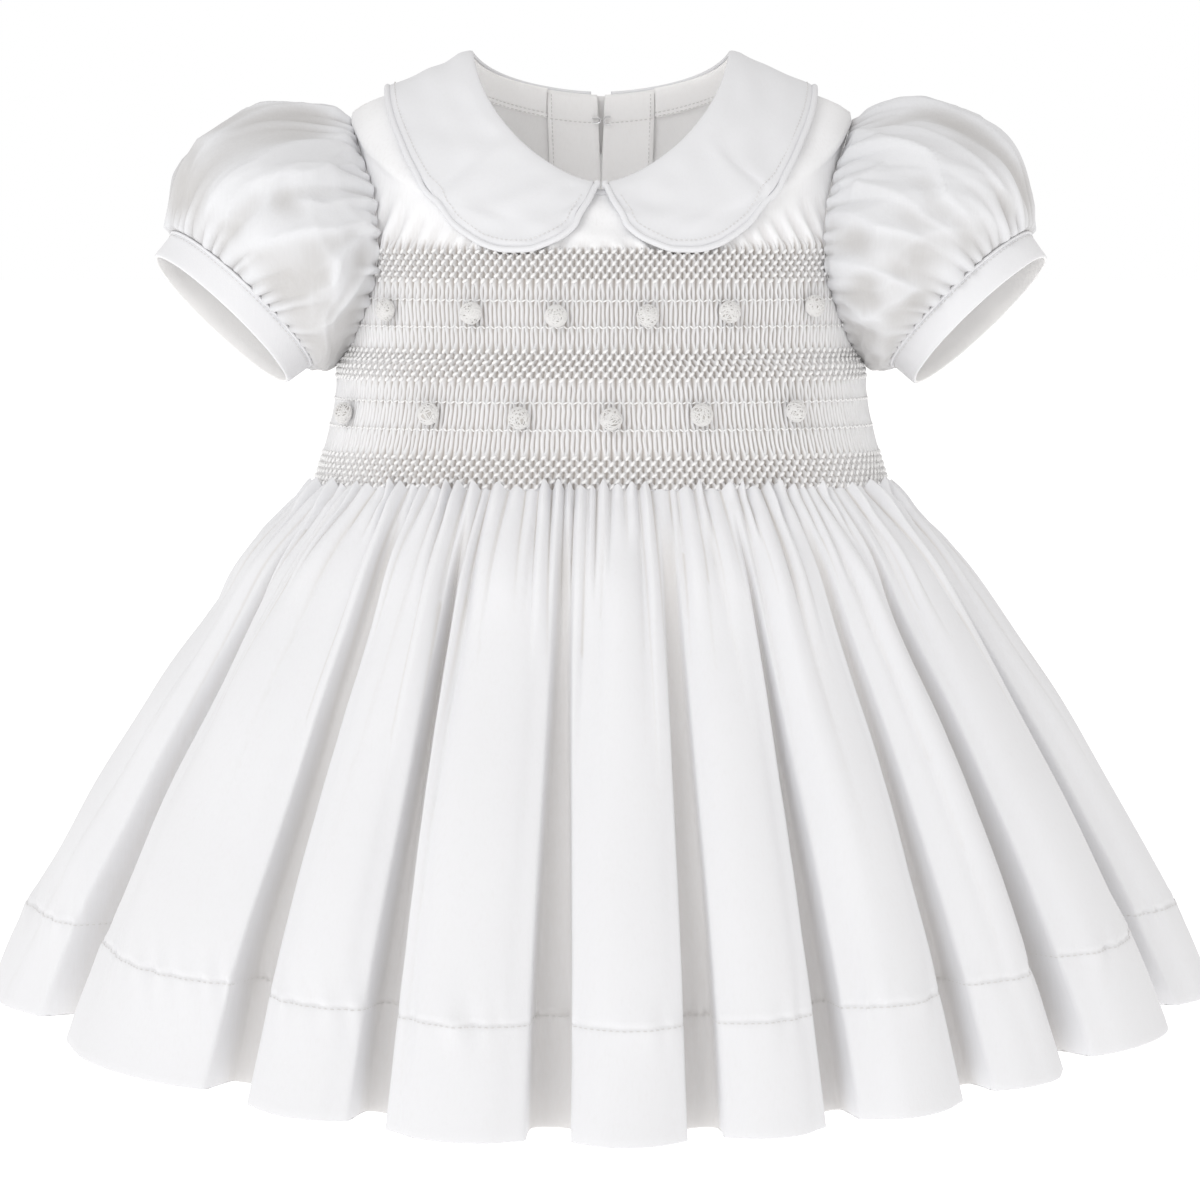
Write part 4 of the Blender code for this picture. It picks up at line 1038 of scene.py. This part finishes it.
def gathers(share, t, count, seed, rise, life, depth):
    """Gathers that start at the waist, each of its own width and depth, and die out below."""
    draw = np.random.default_rng(seed)
    edges = np.arange(count + 1.0)
    edges[1:-1] += draw.uniform(-0.36, 0.36, count - 1)
    own_life = draw.choice(GATHER_LIVES, count, p=GATHER_CHANCES) * life
    own_depth = draw.uniform(0.5, 1.3, count) * depth
    bend = draw.uniform(-0.6, 0.6, count + 1)
    bend[0] = 0.0
    bend[-1] = 0.0
    place = share * count
    place = place + np.interp(place, np.arange(count + 1.0), bend) * t
    fold = np.interp(place, edges, np.arange(count + 1.0))
    which = np.clip(fold.astype(int), 0, count - 1)
    dying = 1 - ease(t / own_life[which])
    shape = np.abs(np.sin(pi * (fold - which))) ** 0.75
    # The line is painted shade along the fold between two gathers.
    line = dying * ease((0.50 - shape) / 0.50)
    return own_depth[which] * dying * ease(rise + t / 0.05) * shape, line


def skirt(rows, u, t):
    """The point of the skirt u radians round from its middle, t of the way down, the way out there,
    and the painted shade there.
    """
    side = np.sign(rows[0][1])
    is_front = side < 0
    turns = FRONT_TURNS if is_front else BACK_TURNS
    drop, seed, count = FRONT_SKIRT if is_front else BACK_SKIRT
    u, t = np.broadcast_arrays(np.asarray(u, float), np.asarray(t, float))
    waist = body(rows, u, 1.0) - np.array([0.0, 0.0, 0.0004])
    hem_z = HEM_SIDE_Z - drop * np.cos(u) ** 2
    hem = np.stack([HEM_HALF_WIDTH * np.sin(u), side * HEM_HALF_DEPTH * np.cos(u), hem_z], -1)
    out = glide(FLARE, t)[..., 0]
    base = waist + (hem - waist) * np.stack([out, out, t], -1)
    across, along = np.sin(u) / HEM_HALF_WIDTH, side * np.cos(u) / HEM_HALF_DEPTH
    outwards = unit(np.stack([across, along, 0 * u], -1))
    onwards = np.stack([side * outwards[..., 1], -side * outwards[..., 0], 0 * u], -1)
    phases = [(radians(turn), (k + 1) * pi) for k, turn in enumerate(turns)]
    phase = glide(phases, u)[..., 0]
    step = 0.01
    rate = (glide(phases, u + step)[..., 0] - glide(phases, u - step)[..., 0]) / (2 * step)
    round_hem = np.hypot(HEM_HALF_WIDTH * np.cos(u), HEM_HALF_DEPTH * np.sin(u))
    wave = 2 * pi * round_hem / np.maximum(rate, 1.0)
    full = glide(FULLNESS, t)[..., 0]
    size = full * (FLUTES_AT_WAIST + (1 - FLUTES_AT_WAIST) * out)
    depth = np.minimum(FLUTE_SLOPE * wave, FLUTE_DEPTH_LIMIT) * size
    from_seam = pi / 2 - np.abs(u)
    shape = FLUTE_UNDERCUT * np.sin(2 * phase) + FLUTE_BROADENING * np.sin(phase)
    slide = shape * wave / (2 * pi) * size * np.sin(pi / 2 * np.clip(from_seam / 0.15, 0, 1))
    share = along_waist(rows, u)
    small, small_line = gathers(share, t, count, seed, *SMALL_GATHERS)
    long, long_line = gathers(share, t, int(count * LONG_SHARE), seed + 1, *LONG_GATHERS)
    long = long * ease(t / 0.16)
    calm = ease(from_seam / 0.05)
    run = 0.13 + 0.10 * out
    rumple = SKIRT_RUMPLE * uneven(u * run, t * 0.0875, 0.03, seed + 2) * ease(t / 0.2) * calm
    fine = (small + long) * calm + rumple
    place = np.abs(np.mod(phase + pi, 2 * pi) - pi) / pi
    which = np.floor((phase + 2 * pi) / (2 * pi))
    wall = WALL_START[0] + (WALL_START[1] - WALL_START[0]) * ease(t)
    wall = wall + WALL_VARIATION * np.sin(2.4 * which + seed)
    low = ease((place - wall) / WALL_WIDTH)
    fluted = depth * (ROUNDNESS * np.cos(phase) + (1 - ROUNDNESS) * (1 - 2 * low))
    edge = OVERHANG * np.exp(-((place - wall) / 0.12) ** 2) * np.sign(np.sin(phase))
    slide = slide + edge * wave / (2 * pi) * size * ease(from_seam / 0.15)
    from_hem_line = t - HEM_LINE
    drawn = HEM_DIP * np.exp(-(from_hem_line / 0.004) ** 2)
    pucker = HEM_PUCKER * uneven(u * run, t * 0.02, PUCKER_LENGTH, seed + 3)
    pucker = pucker * np.exp(-np.abs(from_hem_line) / PUCKER_REACH)
    out = (fluted + fine + pucker * calm - drawn)[..., None]
    moved = base + out * outwards + slide[..., None] * onwards
    if is_front:
        tip, _ = gathers(share, t, count, seed, *TIP_GATHERS)
        tip = tip ** 2 * calm
        moved = moved + tip[..., None] * (TIP_STAND_OFF * outwards + np.array([0.0, 0.0, TIP_RISE]))
    # Painted shade: warm grey in the valleys of the flutes, along the folds between the gathers,
    # and a faint line at the hem stitching.
    painted_shade = VALLEY_SHADE * ease((place - wall - 0.06) / 0.14) * ease((t - 0.02) / 0.12)
    painted_shade = painted_shade + 0.95 * small_line * calm + 0.25 * long_line * ease(t / 0.1) * calm
    painted_shade = painted_shade + 0.08 * np.exp(-((from_hem_line - 0.002) / 0.0028) ** 2)
    return moved, outwards, np.clip(painted_shade, 0, 1)


for side, rows, label in ((-1, FRONT_ROWS, "front"), (1, BACK_ROWS, "back")):
    u = np.linspace(-pi / 2, pi / 2, SKIRT_COLUMNS)[None, :]
    beside_seam = HEM_LINE + np.array([-0.012, -0.006, -0.003, 0.0, 0.002, 0.005, 0.009])
    t = np.concatenate([np.linspace(0, 0.14, 30), np.linspace(0.14, 1.0, 75)[1:], beside_seam])
    t = np.sort(t)[:, None]
    outer, outwards, near = skirt(rows, u, t)
    turn_t = np.concatenate([[1.0], np.linspace(1.0, HEM_LINE, HEM_ROWS - 1)])[:, None]
    turned, inwards, _ = skirt(rows, u, turn_t)
    turned = turned - HEM_TURN * ease(np.arange(HEM_ROWS)[:, None, None] / 1.5) * inwards
    turned[0, :, 2] -= 0.0007
    grid = shifted(np.concatenate([outer, turned]), side)
    # The painted shade of the skirt; the turned-up hem takes that of the hem's edge.
    near = np.concatenate([near, np.repeat(near[-1:], HEM_ROWS, axis=0)])
    piece = cloth(
        f"skirt_cloth_{label}", grid, cotton(f"skirt_cloth_{label}"), flip=side > 0, painted_shading=near,
        replaced=[f"skirt_{label}"],
    )
    u = np.linspace(-pi / 2 + 0.01, pi / 2 - 0.01, HEM_STITCHES)
    line, outwards, _ = skirt(rows, u, np.full(HEM_STITCHES, HEM_LINE + 0.004))
    sewn(
        f"hem_stitches_{label}", [line + 0.0002 * outwards], 0.0028, 0.0018, 0.00042, seam_thread,
    )


# Each puff sleeve is cut wide and full, gathered into the armhole and again into a band cuff.
# The cuff is doubled, with a fine cord and stitches along its seam with the sleeve.
CUFF_CENTRE = (-0.1586, -0.0150, -0.1010)
CUFF_LONG_AXIS = (0.7250, 0.0000, -0.6870)
CUFF_SHORT_AXIS = (0.1920, -0.9610, 0.2030)
CUFF_RUN = (-0.6600, -0.2800, -0.7000)
CUFF_HALF_LONG = (0.0417, 0.0402)
CUFF_HALF_SHORT = (0.0310, 0.0302)
CUFF_WIDTH = 0.0135
# Across the cuff and back inside it: share of its width, lift over its form, and 1 where it is
# outside; inside, towards 0, the cloth is painted lighter, as painted light.
CUFF_ROWS = (
    (0.000, -0.0008, 1.0), (0.030, -0.0002, 1.0), (0.080, 0.0000, 1.0), (0.300, 0.0001, 1.0),
    (0.600, 0.0000, 1.0), (0.850, 0.0000, 1.0), (0.950, -0.0001, 1.0), (0.985, -0.0004, 1.0),
    (1.000, -0.0009, 0.7), (0.985, -0.0014, 0.0), (0.950, -0.0017, 0.0), (0.600, -0.0017, 0.0),
    (0.200, -0.0016, 0.0), (0.050, -0.0016, 0.0), (0.000, -0.0008, 1.0),
)
# Round the sleeve: share of the way from the shoulder over the front, the step with which the cloth
# leaves the armhole and the step back from the cuff, each x, y and z.
SLEEVE_LINES = (
    (-0.125, -0.0270, 0.0140, 0.0160, -0.0020, 0.0180, 0.0400),
    (0.000, -0.0313, 0.0000, 0.0220, -0.0090, 0.0000, 0.0460),
    (0.125, -0.0270, -0.0170, 0.0160, 0.0030, -0.0220, 0.0360),
    (0.250, -0.0150, -0.0260, 0.0030, 0.0220, -0.0280, 0.0100),
    (0.375, -0.0080, -0.0160, -0.0040, 0.0100, -0.0140, -0.0040),
    (0.500, -0.0045, -0.0030, -0.0060, 0.0035, 0.0020, -0.0060),
    (0.625, -0.0070, 0.0120, -0.0050, 0.0080, 0.0140, -0.0040),
    (0.750, -0.0150, 0.0200, 0.0030, 0.0150, 0.0260, 0.0150),
    (0.875, -0.0270, 0.0140, 0.0160, -0.0020, 0.0180, 0.0400),
    (1.000, -0.0313, 0.0000, 0.0220, -0.0090, 0.0000, 0.0460),
    (1.125, -0.0270, -0.0170, 0.0160, 0.0030, -0.0220, 0.0360),
)
SLEEVE_COLUMNS = 360
SLEEVE_GATHERS = 42
CUFF_GATHERS = 44
ROUND_SLEEVE = 0.36
ALONG_SLEEVE = 0.085
SLEEVE_GAP = 0.00045
CREASE_HEIGHT = 0.0013
CREASE_SHARPNESS = 1.6
WRINKLE_HEIGHT = 0.0010
ARMHOLE_PUCKERS = (0.14, 0.0034)
CUFF_PUCKERS = (0.15, 0.0034)
PUCKER_REACHES = (0.5, 0.8, 1.2, 2.2)
PUCKER_CHANCES = (0.3, 0.35, 0.2, 0.15)
# FOLD_SHADE is how much painted shade lies in the low places between the sleeve's folds.
FOLD_SHADE = 0.85
FOLD_TOP = 0.0040
CUFF_COLUMNS = 160
CORD_COLUMNS = 240
CORD_RADIUS = 0.0007
CUFF_SEAMS = (0.05, 0.17)
# SLEEVE_COTTON is a darker copy of the cotton, painted shade on the sleeves. SLEEVE_SHADE is the
# painted shade in the hollows of their folds.
SLEEVE_COTTON = (0.732, 0.736, 0.754)
SLEEVE_SHADE = (0.530, 0.518, 0.510)


def armhole():
    """Round the left armhole from the shoulder tip over the front: share of the way and points."""
    down = np.linspace(TIP_ROW, UNDERARM_ROW, 120)
    points = []
    normals = []
    for rows, order in ((FRONT_ROWS, down), (BACK_ROWS, down[::-1])):
        turns = -edge_turn(rows, order)
        points.append(shifted(body(rows, turns, order), np.sign(rows[0][1])))
        normals.append(body_normal(rows, turns, order))
    shares = np.concatenate([share_along(half) / 2 + k / 2 for k, half in enumerate(points)])
    return shares, np.concatenate(points), unit(np.concatenate(normals))


ARM_SHARE, ARM_POINTS, ARM_NORMALS = armhole()


def round_arm(share, values):
    """Values round the armhole at a share of the way, softened a little."""
    total = 0.0
    for offset in (-0.02, 0.0, 0.02):
        place = np.mod(share + offset, 1.0)
        three = [np.interp(place, ARM_SHARE, values[:, axis]) for axis in range(3)]
        total = total + np.stack(three, -1)
    return total / 3


def cuff_point(share, k):
    """The point of the cuff a share of the way round, k of the way to its rim."""
    angle = 2 * pi * share
    long_half = CUFF_HALF_LONG[0] + (CUFF_HALF_LONG[1] - CUFF_HALF_LONG[0]) * k
    short_half = CUFF_HALF_SHORT[0] + (CUFF_HALF_SHORT[1] - CUFF_HALF_SHORT[0]) * k
    centre = np.array(CUFF_CENTRE) + CUFF_WIDTH * np.asarray(k)[..., None] * np.array(CUFF_RUN)
    flat = -(long_half * np.cos(angle))[..., None] * np.array(CUFF_LONG_AXIS)
    return centre + flat + (short_half * np.sin(angle))[..., None] * np.array(CUFF_SHORT_AXIS)


def sleeve_line(share, t):
    """The point of the left sleeve's smooth form, t of the way from the armhole to the cuff."""
    start = round_arm(share, ARM_POINTS) + SLEEVE_GAP * round_arm(share, ARM_NORMALS)
    end = cuff_point(share, np.full(np.shape(share), -0.03))
    steps = glide(SLEEVE_LINES, share)
    leave = start + steps[..., :3]
    arrive = end + steps[..., 3:]
    t = np.asarray(t, float)[..., None]
    ends = (1 - t) ** 3 * start + t ** 3 * end
    return ends + 3 * t * (1 - t) ** 2 * leave + 3 * t * t * (1 - t) * arrive


def puckers(share, near, count, seed, reach, depth):
    """Puckers that spread from a gathered seam, each with its own width, reach and depth."""
    draw = np.random.default_rng(seed)
    edges = np.arange(count + 1.0)
    edges[1:-1] += draw.uniform(-0.3, 0.3, count - 1)
    own_reach = reach * draw.choice(PUCKER_REACHES, count, p=PUCKER_CHANCES)
    own_depth = depth * draw.uniform(0.5, 1.3, count)
    fold = np.interp(np.mod(share, 1.0) * count, edges, np.arange(count + 1.0))
    which = np.clip(fold.astype(int), 0, count - 1)
    fade = np.exp(-(near / own_reach[which]) ** 1.5) * ease(near / 0.03 + 0.15)
    return own_depth[which] * fade * np.abs(np.sin(pi * (fold - which))) ** 0.8


# The main folds of each sleeve, placed one by one: how high and how wide, and the places it runs
# through, each a share of the way round and of the way from the armhole to the cuff. The back of
# the sleeve has similar ones.
SLEEVE_FOLDS = {
    -1: (
        (0.0036, 0.0060, (
            (0.055, 0.00), (0.090, 0.15), (0.105, 0.31), (0.130, 0.52), (0.132, 0.78),
            (0.140, 0.95),
        )),
        (0.0034, 0.0050, (
            (0.120, 0.00), (0.160, 0.32), (0.152, 0.62), (0.160, 0.76), (0.175, 0.91),
        )),
        (0.0024, 0.0040, ((0.180, 0.01), (0.195, 0.32), (0.180, 0.48))),
        (0.0036, 0.0052, ((0.212, 0.01), (0.225, 0.30), (0.212, 0.71), (0.210, 0.90))),
        (0.0030, 0.0046, (
            (0.220, 0.02), (0.240, 0.19), (0.260, 0.34), (0.290, 0.42), (0.300, 0.88),
        )),
        (0.0022, 0.0042, (
            (0.080, 0.00), (0.145, 0.24), (0.150, 0.42), (0.190, 0.66), (0.215, 0.83),
        )),
        (0.0026, 0.0048, ((0.262, 0.03), (0.295, 0.18), (0.340, 0.42), (0.350, 0.70))),
        (0.0020, 0.0050, ((0.010, 0.02), (0.020, 0.30), (0.055, 0.60), (0.070, 0.92))),
    ),
    1: (
        (0.0034, 0.0056, ((0.045, 0.00), (0.110, 0.25), (0.130, 0.52))),
        (0.0036, 0.0054, ((0.105, 0.02), (0.125, 0.44), (0.165, 0.61), (0.175, 0.94))),
        (0.0024, 0.0040, ((0.140, 0.26), (0.165, 0.20), (0.195, 0.16))),
        (0.0034, 0.0052, ((0.198, 0.02), (0.220, 0.37), (0.215, 0.90))),
        (0.0030, 0.0048, ((0.262, 0.03), (0.270, 0.54), (0.280, 0.92))),
        (0.0024, 0.0042, ((0.160, 0.02), (0.180, 0.36), (0.195, 0.62), (0.195, 0.92))),
        (0.0034, 0.0060, ((0.068, 0.01), (0.085, 0.34), (0.105, 0.68), (0.105, 0.93))),
        (0.0020, 0.0050, ((0.005, 0.02), (0.015, 0.34), (0.035, 0.66), (0.045, 0.92))),
        (0.0024, 0.0050, ((0.310, 0.02), (0.335, 0.35), (0.330, 0.75))),
    ),
}


def placed_folds(share, t, mirror):
    """The height of the main folds at a place on the sleeve."""
    total = 0.0
    for k, (height, width, points) in enumerate(SLEEVE_FOLDS[mirror]):
        for way in (1, -1):
            line = [(way * place + (0.004 * k if way < 0 else 0.0), down) for place, down in points]
            nearest = np.full(share.shape, 1.0)
            side = np.zeros(share.shape)
            gone = np.zeros(share.shape)
            for i, ((s_0, t_0), (s_1, t_1)) in enumerate(zip(line, line[1:])):
                across = (s_1 - s_0) * ROUND_SLEEVE
                down = (t_1 - t_0) * ALONG_SLEEVE
                a = (np.mod(share - s_0 + 0.5, 1.0) - 0.5) * ROUND_SLEEVE
                b = (t - t_0) * ALONG_SLEEVE
                run = np.clip((a * across + b * down) / (across ** 2 + down ** 2), 0, 1)
                off = np.hypot(a - run * across, b - run * down)
                closer = off < nearest
                nearest = np.where(closer, off, nearest)
                side = np.where(closer, a * down - b * across, side)
                gone = np.where(closer, (i + run) / (len(line) - 1), gone)
            spread = width * np.where(side * (-1) ** k > 0, 1.45, 0.50)
            taper = ease(gone / 0.15 + 0.4) * ease((1 - gone) / 0.35)
            total = total + height * np.exp(-nearest / spread) * taper
    return total


def sleeve(share, t, mirror):
    """The sleeve with its gathers and folds, and how high they are there."""
    share, t = np.broadcast_arrays(np.asarray(share, float), np.asarray(t, float))
    step = 0.004
    around_it = sleeve_line(share + step, t) - sleeve_line(share - step, t)
    after, before = np.clip(t + step, 0, 1), np.clip(t - step, 0, 1)
    along_it = sleeve_line(share, after) - sleeve_line(share, before)
    normal = unit(np.cross(along_it, around_it))
    seed = 100 if mirror < 0 else 120
    height = puckers(share, t, SLEEVE_GATHERS, seed, *ARMHOLE_PUCKERS)
    height = height + puckers(share, 1 - t, CUFF_GATHERS, seed + 1, *CUFF_PUCKERS)
    height = height + placed_folds(share, t, mirror) * ease(t / 0.1) * ease((1 - t) / 0.1)
    wrinkle = uneven(share * ROUND_SLEEVE, t * ALONG_SLEEVE * 0.6, 0.024, seed + 2)
    height = height + WRINKLE_HEIGHT * wrinkle * ease(t / 0.15) * ease((1 - t) / 0.15)
    across = share * ROUND_SLEEVE
    down = (t + 0.10 * uneven(across, t * ALONG_SLEEVE, 0.07, seed + 3)) * ALONG_SLEEVE
    crease = uneven(across + 0.25 * down, down * 0.55, 0.040, seed + 4)
    crease = (1 - np.minimum(np.abs(crease) * 1.1, 1)) ** CREASE_SHARPNESS
    fine = uneven(across - 0.2 * down, down * 0.6, 0.022, seed + 5)
    fine = (1 - np.minimum(np.abs(fine) * 1.1, 1)) ** CREASE_SHARPNESS
    creases = CREASE_HEIGHT * (crease + 0.35 * fine - 0.5)
    height = height + creases * ease(t / 0.12) * ease((1 - t) / 0.12)
    run = np.linalg.norm(sleeve_line(share, 0.0 * t) - sleeve_line(share, 0.0 * t + 1), axis=-1)
    height = height * np.clip(run / 0.05, 0.2, 1)
    return sleeve_line(share, t) + height[..., None] * normal, height


for side, sign in SIDES:
    mirror = np.array([-sign, 1, 1])
    shares = np.arange(SLEEVE_COLUMNS)[None, :] / SLEEVE_COLUMNS
    t = np.linspace(0, 0.1, 14), np.linspace(0.1, 0.9, 44)[1:-1], np.linspace(0.9, 1, 14)
    grid, height = sleeve(shares, np.concatenate(t)[:, None], sign)
    finish = cotton(
        f"sleeve_cloth_{side}", SLEEVE_COTTON, SLEEVE_SHADE, rumple=0.0006, rumple_scale=42.0,
    )
    # Painted shade in the low places between the sleeve's folds and puckers.
    piece = cloth(
        f"sleeve_cloth_{side}", grid * mirror, finish, closed=True, flip=sign > 0,
        painted_shading=ease(0.75 - height / FOLD_TOP) * FOLD_SHADE, replaced=[f"sleeve_{side}"],
    )
    shares = np.arange(CUFF_COLUMNS) / CUFF_COLUMNS
    grid = []
    for k, lift, _ in CUFF_ROWS:
        point = cuff_point(shares, np.full(CUFF_COLUMNS, k))
        middle = np.array(CUFF_CENTRE) + CUFF_WIDTH * k * np.array(CUFF_RUN)
        swell = lift + 0.00025 * uneven(shares * 0.23, k * CUFF_WIDTH, 0.02, 140 + sign)
        grid.append(point + swell[:, None] * unit(point - middle))
    # The inside of the cuff is painted lighter, as painted light; its outside keeps the cotton's
    # colour.
    outside = np.repeat(np.array(CUFF_ROWS)[:, 2:], CUFF_COLUMNS, axis=1)
    piece = cloth(
        f"cuff_cloth_{side}", np.array(grid) * mirror,
        cotton(f"cuff_cloth_{side}", INNER_COTTON, COTTON),
        closed=True, flip=sign > 0, painted_shading=outside, replaced=[f"cuff_{side}"],
    )
    middle = np.array(CUFF_CENTRE)
    shares = np.arange(CORD_COLUMNS) / CORD_COLUMNS
    seams = []
    for k in CUFF_SEAMS:
        rim = cuff_point(shares, np.full(CORD_COLUMNS, k))
        seams.append([(rim + 0.0002 * unit(rim - middle)) * mirror])
    tube(
        f"cuff_cord_{side}", seams[0], CORD_RADIUS, cotton(f"cuff_cord_{side}", rumple=0.0),
        sides=2, closed=True,
    )
    sewn(
        f"cuff_stitches_{side}", seams[1], SEAM_SPACING, 0.0014, SEAM_THICKNESS, seam_thread,
        closed=True,
    )


# Twelve balls of wound embroidery thread are sewn on between the cable rows, in two rows of six.
# The thread goes round a core in all directions. The core is painted dark, as painted shade deep
# between the windings, and the ball thread is a greyer copy of the white thread, as painted shade.
# On each one: how far round the front it is in degrees, on which row, and how far it rests over
# the panel.
BALL_RADIUS = 0.0049
BALL_THICKNESS = 0.0037
BALLS = (
    (-50.0, 0.524, 0.00089), (-25.9, 0.531, 0.00098), (-7.8, 0.538, 0.00074),
    (8.2, 0.538, 0.00087), (25.6, 0.528, 0.00089), (49.4, 0.514, 0.00070),
    (-64.0, 0.807, 0.00106), (-34.2, 0.801, 0.00062), (-13.8, 0.809, 0.00048),
    (1.2, 0.811, 0.00084), (17.6, 0.801, 0.00055), (40.4, 0.795, 0.00085),
)
WINDINGS = 40
WINDING_OFFSET = 0.55
WINDING_LIFT = (-0.00010, 0.00022)
THREAD_RADIUS = 0.00027
BALL_STEPS = 20
# Painted shade: a dark core seen between the windings, and a greyer copy of the white thread.
CORE_PAINTED_SHADE = (0.54, 0.52, 0.50)
BALL_THREAD = (0.780, 0.772, 0.765)
ball_core = cotton("ball_core", CORE_PAINTED_SHADE, CORE_PAINTED_SHADE)
ball_thread = cotton("ball_thread", BALL_THREAD, BALL_THREAD, grain=0.00006, rumple=0.0)
for number, (degrees, v, rest) in enumerate(BALLS, 1):
    turn = radians(degrees)
    seat = laid(FRONT_ROWS, turn, v, rest + BALL_THICKNESS)
    normal = body_normal(FRONT_ROWS, turn, v)
    across = unit(np.cross([0.0, 0.0, 1.0], normal))
    upward = np.cross(normal, across)
    size = np.array([BALL_RADIUS, BALL_RADIUS, BALL_THICKNESS]) - THREAD_RADIUS * 1.5
    draw = np.random.default_rng(200 + number)
    lines = []
    angle = np.arange(BALL_STEPS) * 2 * pi / BALL_STEPS
    for _ in range(WINDINGS):
        axis = unit(draw.normal(size=3))
        first = unit(np.cross(axis, draw.normal(size=3)))
        second = np.cross(axis, first)
        offset = draw.uniform(-WINDING_OFFSET, WINDING_OFFSET)
        ring = np.cos(angle)[:, None] * first + np.sin(angle)[:, None] * second
        ring = sqrt(1 - offset ** 2) * ring + offset * axis
        ring = ring * (size + draw.uniform(*WINDING_LIFT))
        lines.append(seat + ring[:, :1] * across + ring[:, 1:2] * upward + ring[:, 2:] * normal)
    tube(
        f"thread_ball_{number:02d}", lines, THREAD_RADIUS, ball_thread,
        sides=0, closed=True, replaced=[f"ball_{number:02d}"],
    )
    tilt = np.linspace(0, pi, 12)[:, None]
    level = np.stack([np.cos(angle), np.sin(angle), 0 * angle], -1)
    core = np.sin(tilt)[..., None] * level + np.cos(tilt)[..., None] * np.array([0.0, 0.0, 1.0])
    core = core * (size - THREAD_RADIUS * 0.5)
    core = seat + core[..., :1] * across + core[..., 1:2] * upward + core[..., 2:] * normal
    cloth(f"ball_core_{number:02d}", core, ball_core, closed=True)


# A small tab lies behind the top of the back opening, and a steel hook and eye close it there.
TAB_ROWS = np.linspace(0.0, 0.105, 12)
TAB_ACROSS = np.linspace(-0.0075, 0.0075, 10)
TAB_HEIGHT = 0.0007
grid = []
for v in TAB_ROWS:
    row = []
    for x in TAB_ACROSS:
        turn = float(turn_at(BACK_ROWS, v, abs(x))) * np.sign(x)
        row.append(laid(BACK_ROWS, turn, v, TAB_HEIGHT))
    grid.append(row)
# The tab takes the backs' lighter copy of the cotton, which is painted light.
tab = cloth(
    "tab_cloth", np.array(grid), cotton("tab_cloth", BACK_COTTON), flip=True, wall=0.0006,
    replaced=["back_tab"],
)
steel = bpy.data.materials.new("hook_steel")
steel.use_nodes = True
steel_shader = steel.node_tree.nodes["Principled BSDF"]
steel_shader.inputs["Metallic"].default_value = 1.0
steel_shader.inputs["Roughness"].default_value = 0.38
grime = node(steel.node_tree, "ShaderNodeTexNoise", {}, {"Scale": 900.0})
steel_tone = node(
    steel.node_tree, "ShaderNodeMix", {"data_type": "RGBA"},
    {"Factor": grime, 6: (0.78, 0.78, 0.78, 1.0), 7: (0.66, 0.66, 0.67, 1.0)}, 2,
)
steel.node_tree.links.new(steel_tone.socket, steel_shader.inputs["Base Color"])
for name in ("hook", "eye"):
    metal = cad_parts[name]
    metal.material_slots[0].material = steel
